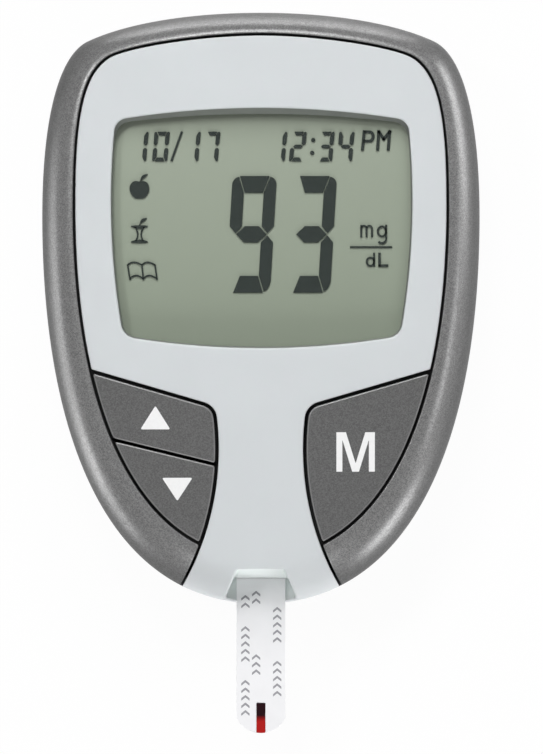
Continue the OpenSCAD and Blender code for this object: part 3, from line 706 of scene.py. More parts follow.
def material(name, colour, rough, vary=0.0, vary_mm=1.0, grain=0.0, grain_mm=0.3, rough_vary=0.0, **sockets):
    """Principled material with a cloudy change of colour, of roughness, and a fine grain in its surface."""
    made = bpy.data.materials.new(name)
    made.use_nodes = True
    tree = made.node_tree
    shader = tree.nodes["Principled BSDF"]
    set_sockets(shader, {"Base Color": colour, "Roughness": rough, **sockets})
    place = add_node(tree, "TexCoord").outputs["Object"]
    if vary or rough_vary:
        cloud = noise(tree, place, vary_mm, detail=3)
        if vary:
            shade = mapped(tree, cloud, 1 - vary, 1 + vary)
            tree.links.new(scaled(tree, colour, shade), shader.inputs["Base Color"])
        if rough_vary:
            level = mapped(tree, cloud, rough - rough_vary, rough + rough_vary)
            tree.links.new(level, shader.inputs["Roughness"])
    if grain:
        bump(tree, shader, noise(tree, place, grain_mm, detail=2), grain)
    return made


def add_node(tree, kind, **sockets):
    node = tree.nodes.new("ShaderNode" + kind)
    set_sockets(node, sockets)
    return node


def set_sockets(node, sockets):
    for socket, value in sockets.items():
        node.inputs[socket.replace("_", " ")].default_value = value


def noise(tree, place, size_mm, detail=2.0):
    node = add_node(tree, "TexNoise", Scale=1 / (size_mm * MM), Detail=detail)
    tree.links.new(place, node.inputs["Vector"])
    return node.outputs["Fac"]


def mapped(tree, value, low, high, start=0.3, end=0.7):
    """value's range from start to end, stretched to the one from low to high."""
    node = add_node(tree, "MapRange", From_Min=start, From_Max=end, To_Min=low, To_Max=high)
    tree.links.new(value, node.inputs["Value"])
    return node.outputs["Result"]


def scaled(tree, colour, factor):
    node = add_node(tree, "VectorMath")
    node.operation = "SCALE"
    node.inputs[0].default_value = colour[:3]
    tree.links.new(factor, node.inputs["Scale"])
    return node.outputs["Vector"]


def bump(tree, shader, height, depth_mm):
    node = add_node(tree, "Bump", Distance=depth_mm * MM)
    tree.links.new(height, node.inputs["Height"])
    tree.links.new(node.outputs["Normal"], shader.inputs["Normal"])


def flake_paint(name, colour, rough, flake_mm, spread, metal, **sockets):
    """Paint with fine metal flakes, each a little lighter or darker."""
    made = material(name, colour, rough, Metallic=metal, **sockets)
    tree, shader, place = sockets_of(made)
    cells = add_node(tree, "TexVoronoi", Scale=1 / (flake_mm * MM))
    tree.links.new(place, cells.inputs["Vector"])
    level = add_node(tree, "SeparateColor")
    tree.links.new(cells.outputs["Color"], level.inputs["Color"])
    shade = mapped(tree, level.outputs["Red"], 1 - spread, 1 + spread, 0, 1)
    tree.links.new(scaled(tree, colour, shade), shader.inputs["Base Color"])
    bump(tree, shader, level.outputs["Green"], FLAKE_DEEP)
    return made


def two_tone(name, low, high, low_y, high_y, rough, **sockets):
    """Colour that goes from one to another along Y."""
    made = material(name, low, rough, **sockets)
    tree, shader, place = sockets_of(made)
    split = add_node(tree, "SeparateXYZ")
    tree.links.new(place, split.inputs["Vector"])
    ramp = mapped(tree, split.outputs["Y"], 0, 1, low_y * MM, high_y * MM)
    mix = add_node(tree, "Mix")
    mix.data_type = "RGBA"
    set_sockets(mix, {"A": low, "B": high})
    tree.links.new(ramp, mix.inputs["Factor"])
    tree.links.new(mix.outputs["Result"], shader.inputs["Base Color"])
    return made


# Light goes a little way into the pale plastic
PALE = {"Subsurface_Weight": 0.35, "Subsurface_Radius": (1.0, 1.15, 1.05), "Subsurface_Scale": 0.0012}
DULL = {"Specular_IOR_Level": 0.0}
PANEL_PLASTIC = material(
    "panel_plastic", srgb(212, 216, 218), 0.42, vary=0.012, vary_mm=9, grain=0.0015, grain_mm=0.25,
    rough_vary=0.03, Coat_Weight=0.15, Coat_Roughness=0.3, **PALE, **DULL
)
# Painted light: the notch's walls and floor are a lighter, slightly greener plastic than the panel, to make
# up for the shade deep in the notch
NOTCH_PAINTED_LIGHT = material("notch_painted_light", srgb(232, 240, 238), 0.45, vary=0.01, vary_mm=3, **PALE, **DULL)
# Painted shade: the window's wall is painted a darker grey than the panel plastic, to stand in for the shade
# on it and the dark line round the display
WINDOW_WALL_SHADE = material("window_wall_painted_shade", srgb(128, 132, 128), 0.5, vary=0.03, vary_mm=2, Specular_IOR_Level=0.2)
TRIM_PAINT = flake_paint(
    "trim_paint", srgb(117, 117, 117), 0.31, 0.12, 0.3, 0.5, Specular_Tint=(0.3, 0.3, 0.3, 1), **DULL
)
KEY_PAINT = flake_paint(
    "key_paint", srgb(100, 100, 100), 0.5, 0.13, 0.2, 0.0, Coat_Weight=0.2, Coat_Roughness=0.25, **DULL
)
# Painted highlight: the keys' rounded edges wear a lighter, more metallic paint than their faces, so that
# every edge shows a light line
KEY_EDGE_HIGHLIGHT = material("key_edge_painted_highlight", srgb(118, 118, 118), 0.3, vary=0.05, vary_mm=0.3, Metallic=0.3)
# Painted shade: the walls that face each other across the gaps between parts are painted near-black, to stand
# in for the shade down in the gaps
GAP_SHADE = material("painted_gap_shade", srgb(14, 14, 15), 0.7, vary=0.1, vary_mm=2)
CASE_PLASTIC = material(
    "case_plastic", srgb(74, 75, 78), 0.55, vary=0.06, vary_mm=0.6, grain=0.02, grain_mm=0.32, rough_vary=0.05
)
DOOR_PLASTIC = material(
    "door_plastic", srgb(70, 71, 74), 0.5, vary=0.06, vary_mm=0.6, grain=0.016, grain_mm=0.3, rough_vary=0.05
)
BLACK_PLASTIC = material("black_plastic", srgb(22, 22, 24), 0.5, vary=0.1, vary_mm=1.5, grain=0.004)
LENS = material("lens_clear", srgb(40, 44, 42), 0.05, Alpha=0.04, rough_vary=0.01)
GLASS = material("display_glass", srgb(190, 205, 196), 0.08, Alpha=0.25, rough_vary=0.02)
# The LCD face is greenish grey with painted shade: darker towards the bottom end and lighter towards the top,
# as light from the top end would fall
LCD_PAINTED_SHADE = two_tone(
    "lcd_face_painted_shade", srgb(152, 162, 145), srgb(167, 176, 160), film_low.y, film_high.y, 0.45,
    Specular_IOR_Level=0.2
)
LCD_INK = material("lcd_ink", srgb(48, 55, 52), 0.5, vary=0.06, vary_mm=1.2, Specular_IOR_Level=0.15)
REFLECTOR = material("reflector_film", srgb(176, 182, 168), 0.35, vary=0.03, vary_mm=0.5)
FOAM = material("foam", srgb(30, 30, 32), 0.95, vary=0.2, vary_mm=0.15, grain=0.05, grain_mm=0.2)
RUBBER = material("elastomer", srgb(120, 124, 130), 0.7, vary=0.25, vary_mm=0.25)
BOARD = material("circuit_board", srgb(24, 84, 48), 0.35, vary=0.22, vary_mm=0.9, rough_vary=0.08)
CHIP = material("chip_body", srgb(30, 30, 32), 0.6, vary=0.12, vary_mm=0.3, grain=0.006, grain_mm=0.12)
CERAMIC = material("ceramic", srgb(150, 128, 104), 0.5, vary=0.15, vary_mm=0.5)
STEEL = material("steel", srgb(168, 168, 171), 0.34, vary=0.06, vary_mm=0.5, rough_vary=0.06, Metallic=1.0)
CELL_STEEL = material(
    "cell_steel", srgb(176, 176, 178), 0.32, vary=0.02, vary_mm=2.5, rough_vary=0.03, Metallic=1.0
)
GOLD = material(
    "contact_gold", srgb(218, 176, 92), 0.28, vary=0.06, vary_mm=0.4, rough_vary=0.06, Metallic=1.0
)
LABEL = material("label_film", srgb(226, 227, 226), 0.4, vary=0.02, vary_mm=3, rough_vary=0.05)
LEGEND = material("legend_ink", srgb(240, 240, 240), 0.5, vary=0.02, vary_mm=0.3)
STRIP_FILM = material("strip_film", srgb(243, 243, 245), 0.35, vary=0.012, vary_mm=1.6, rough_vary=0.05)
STRIP_INK = material("strip_ink", srgb(150, 150, 155), 0.5, vary=0.05, vary_mm=0.3)
ELECTRODE = material("electrode_ink", srgb(150, 120, 70), 0.4, vary=0.1, vary_mm=0.3, Metallic=0.8)
BLOOD = two_tone(
    "blood", srgb(172, 30, 28), srgb(28, 2, 8), base_low.y + 1.5, base_low.y + 2.3, 0.4,
    Specular_IOR_Level=0.1
)

# Each material, and the CAD nodes that wear it
CAD_FINISH = (
    (FOAM, "lens_gasket"),
    # The polariser wears the LCD face with its painted shade
    (LCD_PAINTED_SHADE, "lcd_polariser"),
    (GLASS, "lcd_front_glass", "lcd_rear_glass"),
    (REFLECTOR, "lcd_reflector"),
    (RUBBER, "upper_zebra_strip", "lower_zebra_strip", "up_plunger", "down_plunger", "memory_plunger"),
    (BLACK_PLASTIC, "chassis", "buzzer", "data_jack", "strip_connector"),
    (BOARD, "main_board"),
    (CHIP, "microcontroller", "memory_chip", "up_switch", "down_switch", "memory_switch"),
    (CERAMIC, "chip_components"),
    (STEEL, "clock_crystal", "positive_contact", "link_contact", "negative_contact", "case_screws"),
    (GOLD, "strip_contacts"),
    (ELECTRODE, "strip_electrodes"),
)


def finish_cad_nodes():
    for finish, *nodes in CAD_FINISH:
        for node in nodes:
            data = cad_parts[node].data
            data.materials.clear()
            data.materials.append(finish)


# ---------- panel, trim and keys ----------

KEY_UP = np.array([-math.sin(KEY_SLOPE), math.cos(KEY_SLOPE)])
SPLIT_UP = np.array([-math.sin(SPLIT_SLOPE), math.cos(SPLIT_SLOPE)])
NECK_AT = np.array([NECK_HALF + NECK_R, NECK_Y])


def key_corner(grow):
    """Centre of the rounded corner that the keys' top line makes with the neck's arc."""
    along = np.array([math.cos(KEY_SLOPE), math.sin(KEY_SLOPE)])
    away = KEY_ANCHOR + KEY_UP * (grow - KEY_CORNER) - NECK_AT
    middle = away @ along
    reach = (NECK_R + grow - KEY_CORNER) ** 2 - away @ away + middle**2
    return NECK_AT + away - along * (middle + math.sqrt(reach))


def neck_line(skin, grow):
    """Flat line down the neck's right arc, from the keys' corner to the parting line."""
    away = key_corner(grow) - NECK_AT
    angle = np.linspace(math.atan2(away[1], away[0]) % TAU, NECK_END, 3000)
    arc = NECK_AT + (NECK_R + grow) * unit(angle)
    phi, distance = skin.polar(arc)
    rim, reach = skin.at_angles(phi, skin.rim, skin.reach)
    last = int(np.argmax(distance >= rim + reach))
    return np.concatenate([skin.flat(arc[:last]), skin.parting(phi[last : last + 1])])


def angle_of(point):
    away = point - CENTRE
    return math.atan2(away[1], away[0])


def panel_loop():
    rim = PANEL.beside_rim(np.linspace(math.pi / 2, math.radians(-40), 1500), -GAP / 2)
    last = int(np.argmax((rim - KEY_ANCHOR) @ KEY_UP < GAP / 2))
    corner = key_corner(GAP / 2)
    away = corner - NECK_AT
    turn = np.linspace(math.pi / 2 + KEY_SLOPE, math.atan2(away[1], away[0]) % TAU, 20)
    shoulder = corner + KEY_CORNER * unit(turn)
    neck = neck_line(PANEL, GAP / 2)
    nose = PANEL.parting(np.linspace(angle_of(neck[-1]), -math.pi / 2, 60))
    right = [rim[:last], np.array([rim[last - 1], shoulder[0]]), shoulder, neck, nose]
    return soften(chain(*both_sides(right))[::-1], PANEL_TIP)


def window_distance(grow):
    half = lens_high.x - LENS_LAP + grow
    top = lens_high.y - LENS_LAP
    low = lens_low.y + LENS_LAP - WINDOW_DROP
    side_y = (top + low) / 2 + WINDOW_SIDE_UP

    def distance(p):
        above = np.linalg.norm(p - (0, top + grow - WINDOW_TOP_R), axis=1) - WINDOW_TOP_R
        below = np.linalg.norm(p - (0, low - grow + WINDOW_LOW_R), axis=1) - WINDOW_LOW_R
        across = np.abs(p[:, 0] - WINDOW_X) - (half - WINDOW_SIDE_R)
        beside = np.hypot(across, p[:, 1] - side_y) - WINDOW_SIDE_R
        return round_max(np.maximum(above, below), beside, WINDOW_CORNER + grow, cosine=0.12)

    return distance


def window_loop(grow, step=0.4):
    return star_loop(window_distance(grow), WINDOW_MIDDLE, step=step)


def notch_loop():
    """Opening over the strip's mouth: leaning end wall, flared sides, and the sill at the nose."""
    ys = np.linspace(NOTCH_TOP, -HALF_L, 1500)
    side = np.column_stack([NOTCH_HALF + NOTCH_FLARE * (MOUTH_Y - ys), ys])
    phi, distance = PANEL.polar(side)
    outside = distance > PANEL.at_angles(phi, PANEL.rim + PANEL.reach)[0] * ALMOST
    height = PANEL.point(PANEL.flat(side))[:, 2]
    last = int(np.argmax((height < NOTCH_FLOOR) | outside))
    side = PANEL.flat(side[:last])
    sill = PANEL.level(np.linspace(angle_of(side[-1]), -math.pi / 2, 30), NOTCH_FLOOR)
    right = [np.array([[0.0, NOTCH_TOP], side[0]]), side, sill]
    return soften(chain(*both_sides(right), step=0.25), NOTCH_CORNER)


def notch_foot(q):
    """Where the notch's walls meet its floor, or the slot at the strip."""
    top = PANEL.point(q) - PANEL.normal(q) * NOTCH_ROUND
    lean = np.clip(1 - (NOTCH_TOP - top[:, 1]) / LEAN_FADE, 0, 1) * NOTCH_LEAN
    widen = 1 + NOTCH_FLARE * lean / (NOTCH_HALF - NOTCH_FLARE * NOTCH_LEAN)
    x = np.where(lean > 0.9, top[:, 0] * widen, top[:, 0] + np.sign(top[:, 0]) * NOTCH_FLARE * lean)
    over_slot = (lean > 0.9) & (np.abs(x) < NOTCH_HALF - 0.3)
    z = np.where(over_slot, SLOT_TOP, NOTCH_FLOOR)
    return np.column_stack([x, top[:, 1] - lean, np.minimum(z, top[:, 2] - 0.02)])


def lens_foot(q):
    """The window's wall leans in a little on its way down to the lens, and more along its top."""
    middle = np.array([0.0, (lens_low.y + lens_high.y) / 2])
    above = np.clip((q[:, 1] - lens_high.y + WINDOW_TOP_FROM) / LEAN_FADE, 0, 1)
    lean = 1 - (WINDOW_LEAN + WINDOW_TOP_LEAN * above) / np.linalg.norm(q - middle, axis=1)
    return np.column_stack([middle + (q - middle) * lean[:, None], np.full(len(q), lens_high.z)])


def make_panel():
    mesh = Mesh()
    loops = [panel_loop(), window_loop(0)[::-1], notch_loop()]
    feet = {1: lens_foot, 2: notch_foot}
    edges = [PANEL_ROUND, WINDOW_ROUND, NOTCH_ROUND]
    # The outer walls and underside wear the near-black painted gap shade
    shell(mesh, PANEL, loops, WALL, edges, spacing=0.8, feet=feet, wall_slot=[1, 3, 2])
    inner_y = MOUTH_Y + SLOT_DEEP
    corner = angle_of(np.array([NOTCH_HALF + NOTCH_FLARE * (HALF_L + MOUTH_Y), -HALF_L]))
    sill = PANEL.point(PANEL.level(np.linspace(-math.pi - corner, corner, 24), NOTCH_FLOOR))[:, :2]
    floor = np.concatenate([sill + (0, SILL_LAP), [(NOTCH_HALF, inner_y), (-NOTCH_HALF, inner_y)]])
    # Like the notch's walls, its floor wears slot 2, lightened as painted light
    plate(mesh, floor, NOTCH_FLOOR - SILL_T, NOTCH_FLOOR, 0.01, slot=2)
    # Slot 3, on the window's wall, is its painted shade
    finishes = [PANEL_PLASTIC, GAP_SHADE, NOTCH_PAINTED_LIGHT, WINDOW_WALL_SHADE]
    mesh.build("panel_moulding", finishes, "housing", "panel_plastic", "front_panel")


def make_trim():
    end = neck_line(FRONT, -GAP / 2)
    end = end[FRONT.from_rim(end) > GAP / 2]
    outer_a, inner_a = angle_of(end[-1]), angle_of(end[0])
    outer = FRONT.parting(np.linspace(outer_a, math.pi - outer_a, 1600))
    inner = FRONT.beside_rim(np.linspace(math.pi - inner_a, inner_a, 1400), GAP / 2)
    loop = soften(chain(outer, mirrored(end), inner, end), TRIM_TIP)
    mesh = Mesh()
    # The trim's walls and underside wear the near-black painted gap shade
    shell(mesh, FRONT, [loop], WALL, TRIM_ROUND, wall_slot=1)
    mesh.build("trim_moulding", [TRIM_PAINT, GAP_SHADE], "housing", "trim_paint", "trim_ring")


def key_distance(kind, grow=0.0):
    """Distance outside one key's outline, drawn on the right."""
    gap = GAP / 2 - grow

    def distance(p):
        top = (p - KEY_ANCHOR) @ KEY_UP + gap + KEY_INSET
        neck = np.linalg.norm(p - NECK_AT, axis=1) - NECK_R + gap + KEY_INSET
        key = round_max(top, neck, KEY_CORNER, 0.5)
        key = round_max(key, FRONT.from_rim(p) + gap + RIM_INSET, KEY_TIP, -0.2)
        split = (p - SPLIT_ANCHOR) @ SPLIT_UP
        if kind == "up":
            key = round_max(key, gap + SPLIT_INSET - split, KEY_TIP, -0.1)
        if kind == "down":
            key = round_max(key, split + gap + SPLIT_INSET, KEY_TIP, -0.1)
        return key

    return distance


KEY_MIDDLE = {"up": (15.0, -14.0), "down": (12.0, -22.5), "memory": (13.5, -17.5)}


def make_key(kind):
    mesh = Mesh()

    def outline(grow):
        loop = star_loop(key_distance(kind, grow), np.array(KEY_MIDDLE[kind]), step=0.3)
        return loop if kind == "memory" else mirrored(loop)

    feet = {0: Level(FLANGE_Z[1]).point}
    # The key's walls, underside, flange and post wear the near-black painted gap shade
    shell(mesh, FRONT, [outline(0)], KEY_T, KEY_ROUND, feet=feet, wall_slot=1, edge_slot=2)
    plate(mesh, outline(FLANGE_LAP), *FLANGE_Z, slot=1)
    low, high = corners(kind + "_plunger")
    post = circle_loop((low + high)[:2] / 2, POST_R)
    plate(mesh, post, high[2], FLANGE_Z[1] + POST_LAP, 0.02, slot=1)
    # Slot 2, on the rounded edges, is the painted highlight
    finishes = [KEY_PAINT, GAP_SHADE, KEY_EDGE_HIGHLIGHT]
    mesh.build(kind + "_key_cap", finishes, kind + "_button", "key_plastic", kind + "_key")


# ---------- printed legends ----------


UP_ARROW = ((-15.55, -15.7), (-11.87, -15.7), (-13.7, -12.8))
DOWN_ARROW = ((-12.74, -22.1), (-8.99, -22.1), (-10.85, -24.95))
M_PLACE = (9.8, -21.25)
M_SIZE = (5.0, 5.13)
LEGEND_LIFT = 0.02
LEGEND_T = 0.05


def letter_m(x, y, width, height):
    """Outline of a capital M with its V down to the baseline."""
    leg, top, notch, foot, arm = 0.78, 1.24, 1.08, 0.88, 4.15
    half = width / 2
    right = [(half, 0), (half, height), (half - top, height), (0, notch)]
    inner = [(foot / 2, 0), (half - leg, arm), (half - leg, 0)]
    left = [(-a, b) for a, b in right[-2::-1]]
    left_inner = [(-a, b) for a, b in inner[::-1]]
    points = right + left + left_inner + inner
    return polygon(np.array(points) + (x + half, y), 0.05)


def make_legends():
    for kind, loop in (
        ("up", polygon(grown_triangle(UP_ARROW), 0.16)),
        ("down", polygon(grown_triangle(DOWN_ARROW), 0.16)),
        ("memory", letter_m(*M_PLACE, *M_SIZE)),
    ):
        mesh = Mesh()
        shell(mesh, Raised(FRONT, LEGEND_LIFT), [loop], LEGEND_T, edge=0.008, spacing=1.2)
        mesh.build(kind + "_legend", LEGEND, kind + "_button", "key_plastic")


def grown_triangle(points, grow=0.12):
    """The triangle a little larger, so that it keeps its size once its corners are rounded."""
    points = np.array(points)
    middle = points.mean(axis=0)
    return middle + (points - middle) * (1 + grow / 2)


# ---------- display ----------

INK_T = 0.2
ICON_X = -15.78
# Digits: a cell's width and height, the widths of its segments, and how their ends are cut
BIG = SimpleNamespace(
    w=5.76, h=15.18, side=1.6, bar=2.2, cut=0.95, gap=0.1, shoulder=0.96, heel=1.5, waist=1.05, tip=0.12,
    blunt=0.5, mid=1.07, slant=0.059, corner=0.05
)
SMALL = SimpleNamespace(
    w=2.0, h=3.88, side=0.55, bar=0.52, cut=0.36, gap=0.1, shoulder=0.16, heel=0.2, waist=0.4, tip=0.19,
    blunt=0.3, mid=0.25, slant=0.09, corner=0.07
)


def bend(a, control, b, n=6):
    """Points along a curve from a to b."""
    t = np.linspace(0, 1, n)[:, None]
    a, control, b = (np.array(p, float) for p in (a, control, b))
    return (1 - t) ** 2 * a + 2 * t * (1 - t) * control + t**2 * b


def upright(style, round_h):
    """Outline of the upper left segment, its outer corner rounded over round_h."""
    s, middle = style, style.h / 2
    start = (s.cut - s.gap, s.h - 0.1 * round_h)
    corner = bend(start, (0.2 * s.cut, s.h - 0.25 * round_h), (0, s.h - round_h))
    low = [
        (0, middle + s.waist),
        (s.side * s.blunt, middle + s.tip),
        (s.side * (1 - s.blunt), middle + s.tip),
        (s.side, middle + s.waist),
        (s.side, s.h - s.bar - s.gap * 0.6),
    ]
    return np.concatenate([corner, low])


def cap(style):
    """Outline of the top segment."""
    s = style
    low = s.h - s.bar
    return np.array([(s.cut, s.h), (s.w - s.cut, s.h), (s.w - s.side - s.gap, low), (s.side + s.gap, low)])


def crossbar(style):
    """Outline of the middle segment."""
    s, middle = style, style.h / 2
    end, reach = s.side / 2 + s.gap, s.side / 2 + s.mid + s.gap
    upper = [(end, middle), (reach, middle + s.mid), (s.w - reach, middle + s.mid)]
    lower = [(s.w - end, middle), (s.w - reach, middle - s.mid), (reach, middle - s.mid)]
    return np.array(upper + lower)


def segment(style, which):
    """Outline of one segment of an upright digit, from its cell's lower left corner.

    a is the top one, b to f follow clockwise, and g is in the middle.
    """
    if which == "g":
        return crossbar(style)
    if which in "ad":
        outline = cap(style)
    else:
        outline = upright(style, style.heel if which in "ce" else style.shoulder)
    across = (style.w, 0) if which in "bc" else (0, 0)
    down = (0, style.h) if which in "cde" else (0, 0)
    turn = (-1 if which in "bc" else 1, -1 if which in "cde" else 1)
    return outline * turn + across + down


def digit(mesh, style, x, y, lit):
    """Digit whose cell has its lower left corner at (x, y) before it leans."""
    for which in lit:
        points = segment(style, which)
        points[:, 0] += (points[:, 1] - style.h / 2) * style.slant
        ink(mesh, polygon(points + (x, y), style.corner, step=0.5))


def ink(mesh, loop):
    plate(mesh, loop, film_high.z, film_high.z + INK_T, 0.02)


def finish_ink(mesh, name):
    mesh.build(name, LCD_INK, "housing", "polariser_film")


def stroke(mesh, path, width):
    """A line of ink of that width along path. width may change from point to point."""
    path = np.asarray(path, float)
    ahead = np.gradient(path, axis=0)
    ahead /= np.linalg.norm(ahead, axis=1, keepdims=True)
    side = np.column_stack([-ahead[:, 1], ahead[:, 0]]) * np.broadcast_to(width, len(path))[:, None] / 2
    ink(mesh, np.concatenate([path - side, (path + side)[::-1]]))


def straight(mesh, width, *points):
    """Lines of ink from point to point."""
    for a, b in zip(points[:-1], points[1:]):
        a, b = np.array(a, float), np.array(b, float)
        over = (b - a) / np.linalg.norm(b - a) * width * 0.4
        stroke(mesh, np.array([a - over, (a + b) / 2, b + over]), width)


def bow(centre, rx, ry, start, end, n=24):
    """Points along an ellipse's arc, angles in degrees."""
    turn = np.radians(np.linspace(start, end, n))
    return np.array(centre) + np.column_stack([rx * np.cos(turn), ry * np.sin(turn)])


def ring(mesh, centre, rx, ry, width):
    """A closed round line of ink."""
    for start in (0, 180):
        stroke(mesh, bow(centre, rx, ry, start - 3, start + 183), width)


READING = ((-4.12, "abcdfg"), (3.68, "abcdg"))
READING_Y = 2.0
DATE = ((-16.74, "bc"), (-13.99, "abcdef"), (-9.97, "bc"), (-7.42, "abc"))
TIME = ((1.28, "bc"), (3.8, "abdeg"), (7.43, "abcdg"), (10.01, "bcfg"))
CLOCK_Y = 19.06


def make_reading():
    mesh = Mesh()
    for x, lit in READING:
        digit(mesh, BIG, x, READING_Y, lit)
    finish_ink(mesh, "reading_digits")


def make_clock():
    mesh = Mesh()
    for x, lit in DATE + TIME:
        digit(mesh, SMALL, x, CLOCK_Y, lit)
    straight(mesh, 0.3, (-11.6, 19.2), (-10.3, 22.85))
    for at in ((6.8, 21.84), (6.66, 20.18)):
        ink(mesh, circle_loop(at, 0.28, 20))
    finish_ink(mesh, "clock_digits")


def make_letters():
    """PM, and mg over dL."""
    mesh = Mesh()
    bold, thin = 0.4, 0.27
    straight(mesh, bold, (13.2, 20.62), (13.42, 22.95))
    bowl = bow((14.1, 22.3), 0.48, 0.6, 90, -90)
    stroke(mesh, np.concatenate([[(13.42, 22.9)], bowl, [(13.3, 21.7)]]), bold)
    straight(mesh, bold, (15.16, 20.62), (15.32, 22.95), (15.96, 21.95), (16.74, 22.95), (16.54, 20.62))

    stems = (13.04, 13.73, 14.43)
    straight(mesh, thin, (stems[0], 9.3), (stems[0], 10.7))
    for a, b in zip(stems[:-1], stems[1:]):
        arch = bow(((a + b) / 2, 10.28), (b - a) / 2, 0.42, 165, 0, 12)
        stroke(mesh, np.concatenate([arch, [(b, 9.85), (b, 9.2)]]), thin)
    ring(mesh, (15.73, 9.97), 0.53, 0.64, thin)
    tail = bow((15.72, 9.05), 0.56, 0.6, -5, -140)
    stroke(mesh, np.concatenate([[(16.26, 10.85), (16.27, 10.0)], tail]), thin)

    straight(mesh, 0.24, (11.66, 7.94), (16.96, 7.94))
    ring(mesh, (14.23, 6.03), 0.48, 0.53, thin)
    straight(mesh, thin, (14.71, 5.48), (14.71, 7.1))
    straight(mesh, 0.34, (15.41, 7.06), (15.41, 5.52), (16.42, 5.52))
    finish_ink(mesh, "unit_letters")


def leaf(mesh, root, tip):
    """A leaf on a short stalk, from root to tip."""
    root, tip = np.array(root), np.array(tip)
    share = np.linspace(0, 1, 14)[:, None]
    sag = np.array([(tip - root)[1], -(tip - root)[0]]) * -0.12
    path = root + (tip - root) * share + sag * np.sin(math.pi * share)
    wide = 0.1 + 0.32 * np.clip(np.sin(math.pi * (share[:, 0] - 0.25) / 0.75), 0, 1)
    stroke(mesh, path, wide)


def make_fruit(mesh):
    """A round fruit, broad at its shoulders and flat below."""
    turn = np.linspace(0, TAU, 72, endpoint=False)
    square = (np.abs(np.cos(turn)) ** 2.5 + np.abs(np.sin(turn)) ** 2.5) ** (-1 / 2.5)
    dip = 0.13 * np.exp(-(((turn - math.pi / 2) / 0.3) ** 2))
    base = 0.05 * np.exp(-(((turn - 1.5 * math.pi) / 0.4) ** 2))
    body = unit(turn) * (square - dip - base)[:, None] * (1.29, 1.22)
    body[:, 0] *= 1 - 0.17 * np.clip(-body[:, 1], 0, 1.2)
    ink(mesh, body + (ICON_X, 15.38))
    leaf(mesh, (ICON_X, 16.3), (-14.72, 17.38))


def make_core(mesh):
    """What is left of the fruit: two end caps and the hollow middle between them."""
    x, top, low, half = ICON_X, 10.55, 8.68, 1.1
    for y, sag in ((top, -0.1), (low, 0.1)):
        share = np.linspace(-1, 1, 17)
        path = np.column_stack([x + half * share, y - sag * share**2])
        stroke(mesh, path, 0.12 + 0.36 * (1 - share**2))
    for side in (-1, 1):
        waist = (x - side * 0.1, (top + low) / 2)
        stroke(mesh, bend((x + side * 0.58, top), waist, (x + side * 0.52, low), 16), 0.22)
    leaf(mesh, (-15.85, 10.7), (-14.82, 11.68))


def make_book(mesh):
    """An open book, leaning to the right."""
    top, low, rise, fall = 5.6, 3.82, 0.36, 0.42
    lefts, rights = ((-17.32, -17.0), (-15.46, -15.28)), ((-15.46, -15.28), (-13.76, -13.5))
    for (top_a, low_a), (top_b, low_b) in (lefts, rights):
        share = np.linspace(0, 1, 16)
        arch = np.sin(math.pi * share**0.85)
        stroke(mesh, np.column_stack([top_a + (top_b - top_a) * share, top + rise * arch]), 0.22)
        stroke(mesh, np.column_stack([low_a + (low_b - low_a) * share, low + fall * arch]), 0.22)
    for upper, lower in (lefts[0], lefts[1], rights[1]):
        straight(mesh, 0.22, (upper, top), (lower, low - 0.08))


def make_icons():
    mesh = Mesh()
    make_fruit(mesh)
    make_core(mesh)
    make_book(mesh)
    finish_ink(mesh, "status_icons")


def make_lens():
    mesh = Mesh()
    plate(mesh, window_loop(LENS_LAP, 0.8), lens_low.z, lens_high.z, edge=0.06, spacing=4)
    mesh.build("lens_pane", LENS, "housing", "lens_clear", "display_lens")


# ---------- test strip ----------

STRIP_HALF = base_high.x
TIP_Y = base_low.y
TIP_R = 3.55
TIP_CORNER = 0.45
SAMPLE_HALF = 0.6
SAMPLE_L = 3.95
SAMPLE_CORNER = 0.1
SAMPLE_GAP = 0.02
SAMPLE_END_GAP = 0.03
SAMPLE_SINK = 0.04
COVER_CORNER = 0.12


def strip_tip(inner=0.0):
    """The tip's arc to the right of x = inner, from the bottom up to the strip's side."""
    turn = np.linspace(math.asin(inner / TIP_R), math.asin(STRIP_HALF / TIP_R), 30) - math.pi / 2
    return np.array([0, TIP_Y + TIP_R]) + TIP_R * unit(turn)


def strip_outline(end_y, *notch):
    """Counter-clockwise outline of the strip up to end_y. notch's points go from right to left."""
    right = strip_tip(notch[0][0] if notch else 0.0)
    side = np.array([right[-1], [STRIP_HALF, end_y]])
    end = np.array([[STRIP_HALF, end_y], [-STRIP_HALF, end_y]])
    lines = [right, side, end, mirrored(side), mirrored(right)]
    if notch:
        slot = np.array([right[0] * (-1, 1), *notch[::-1], right[0]])
        lines += [slot[i : i + 2] for i in range(len(slot) - 1)]
    return chain(*lines)


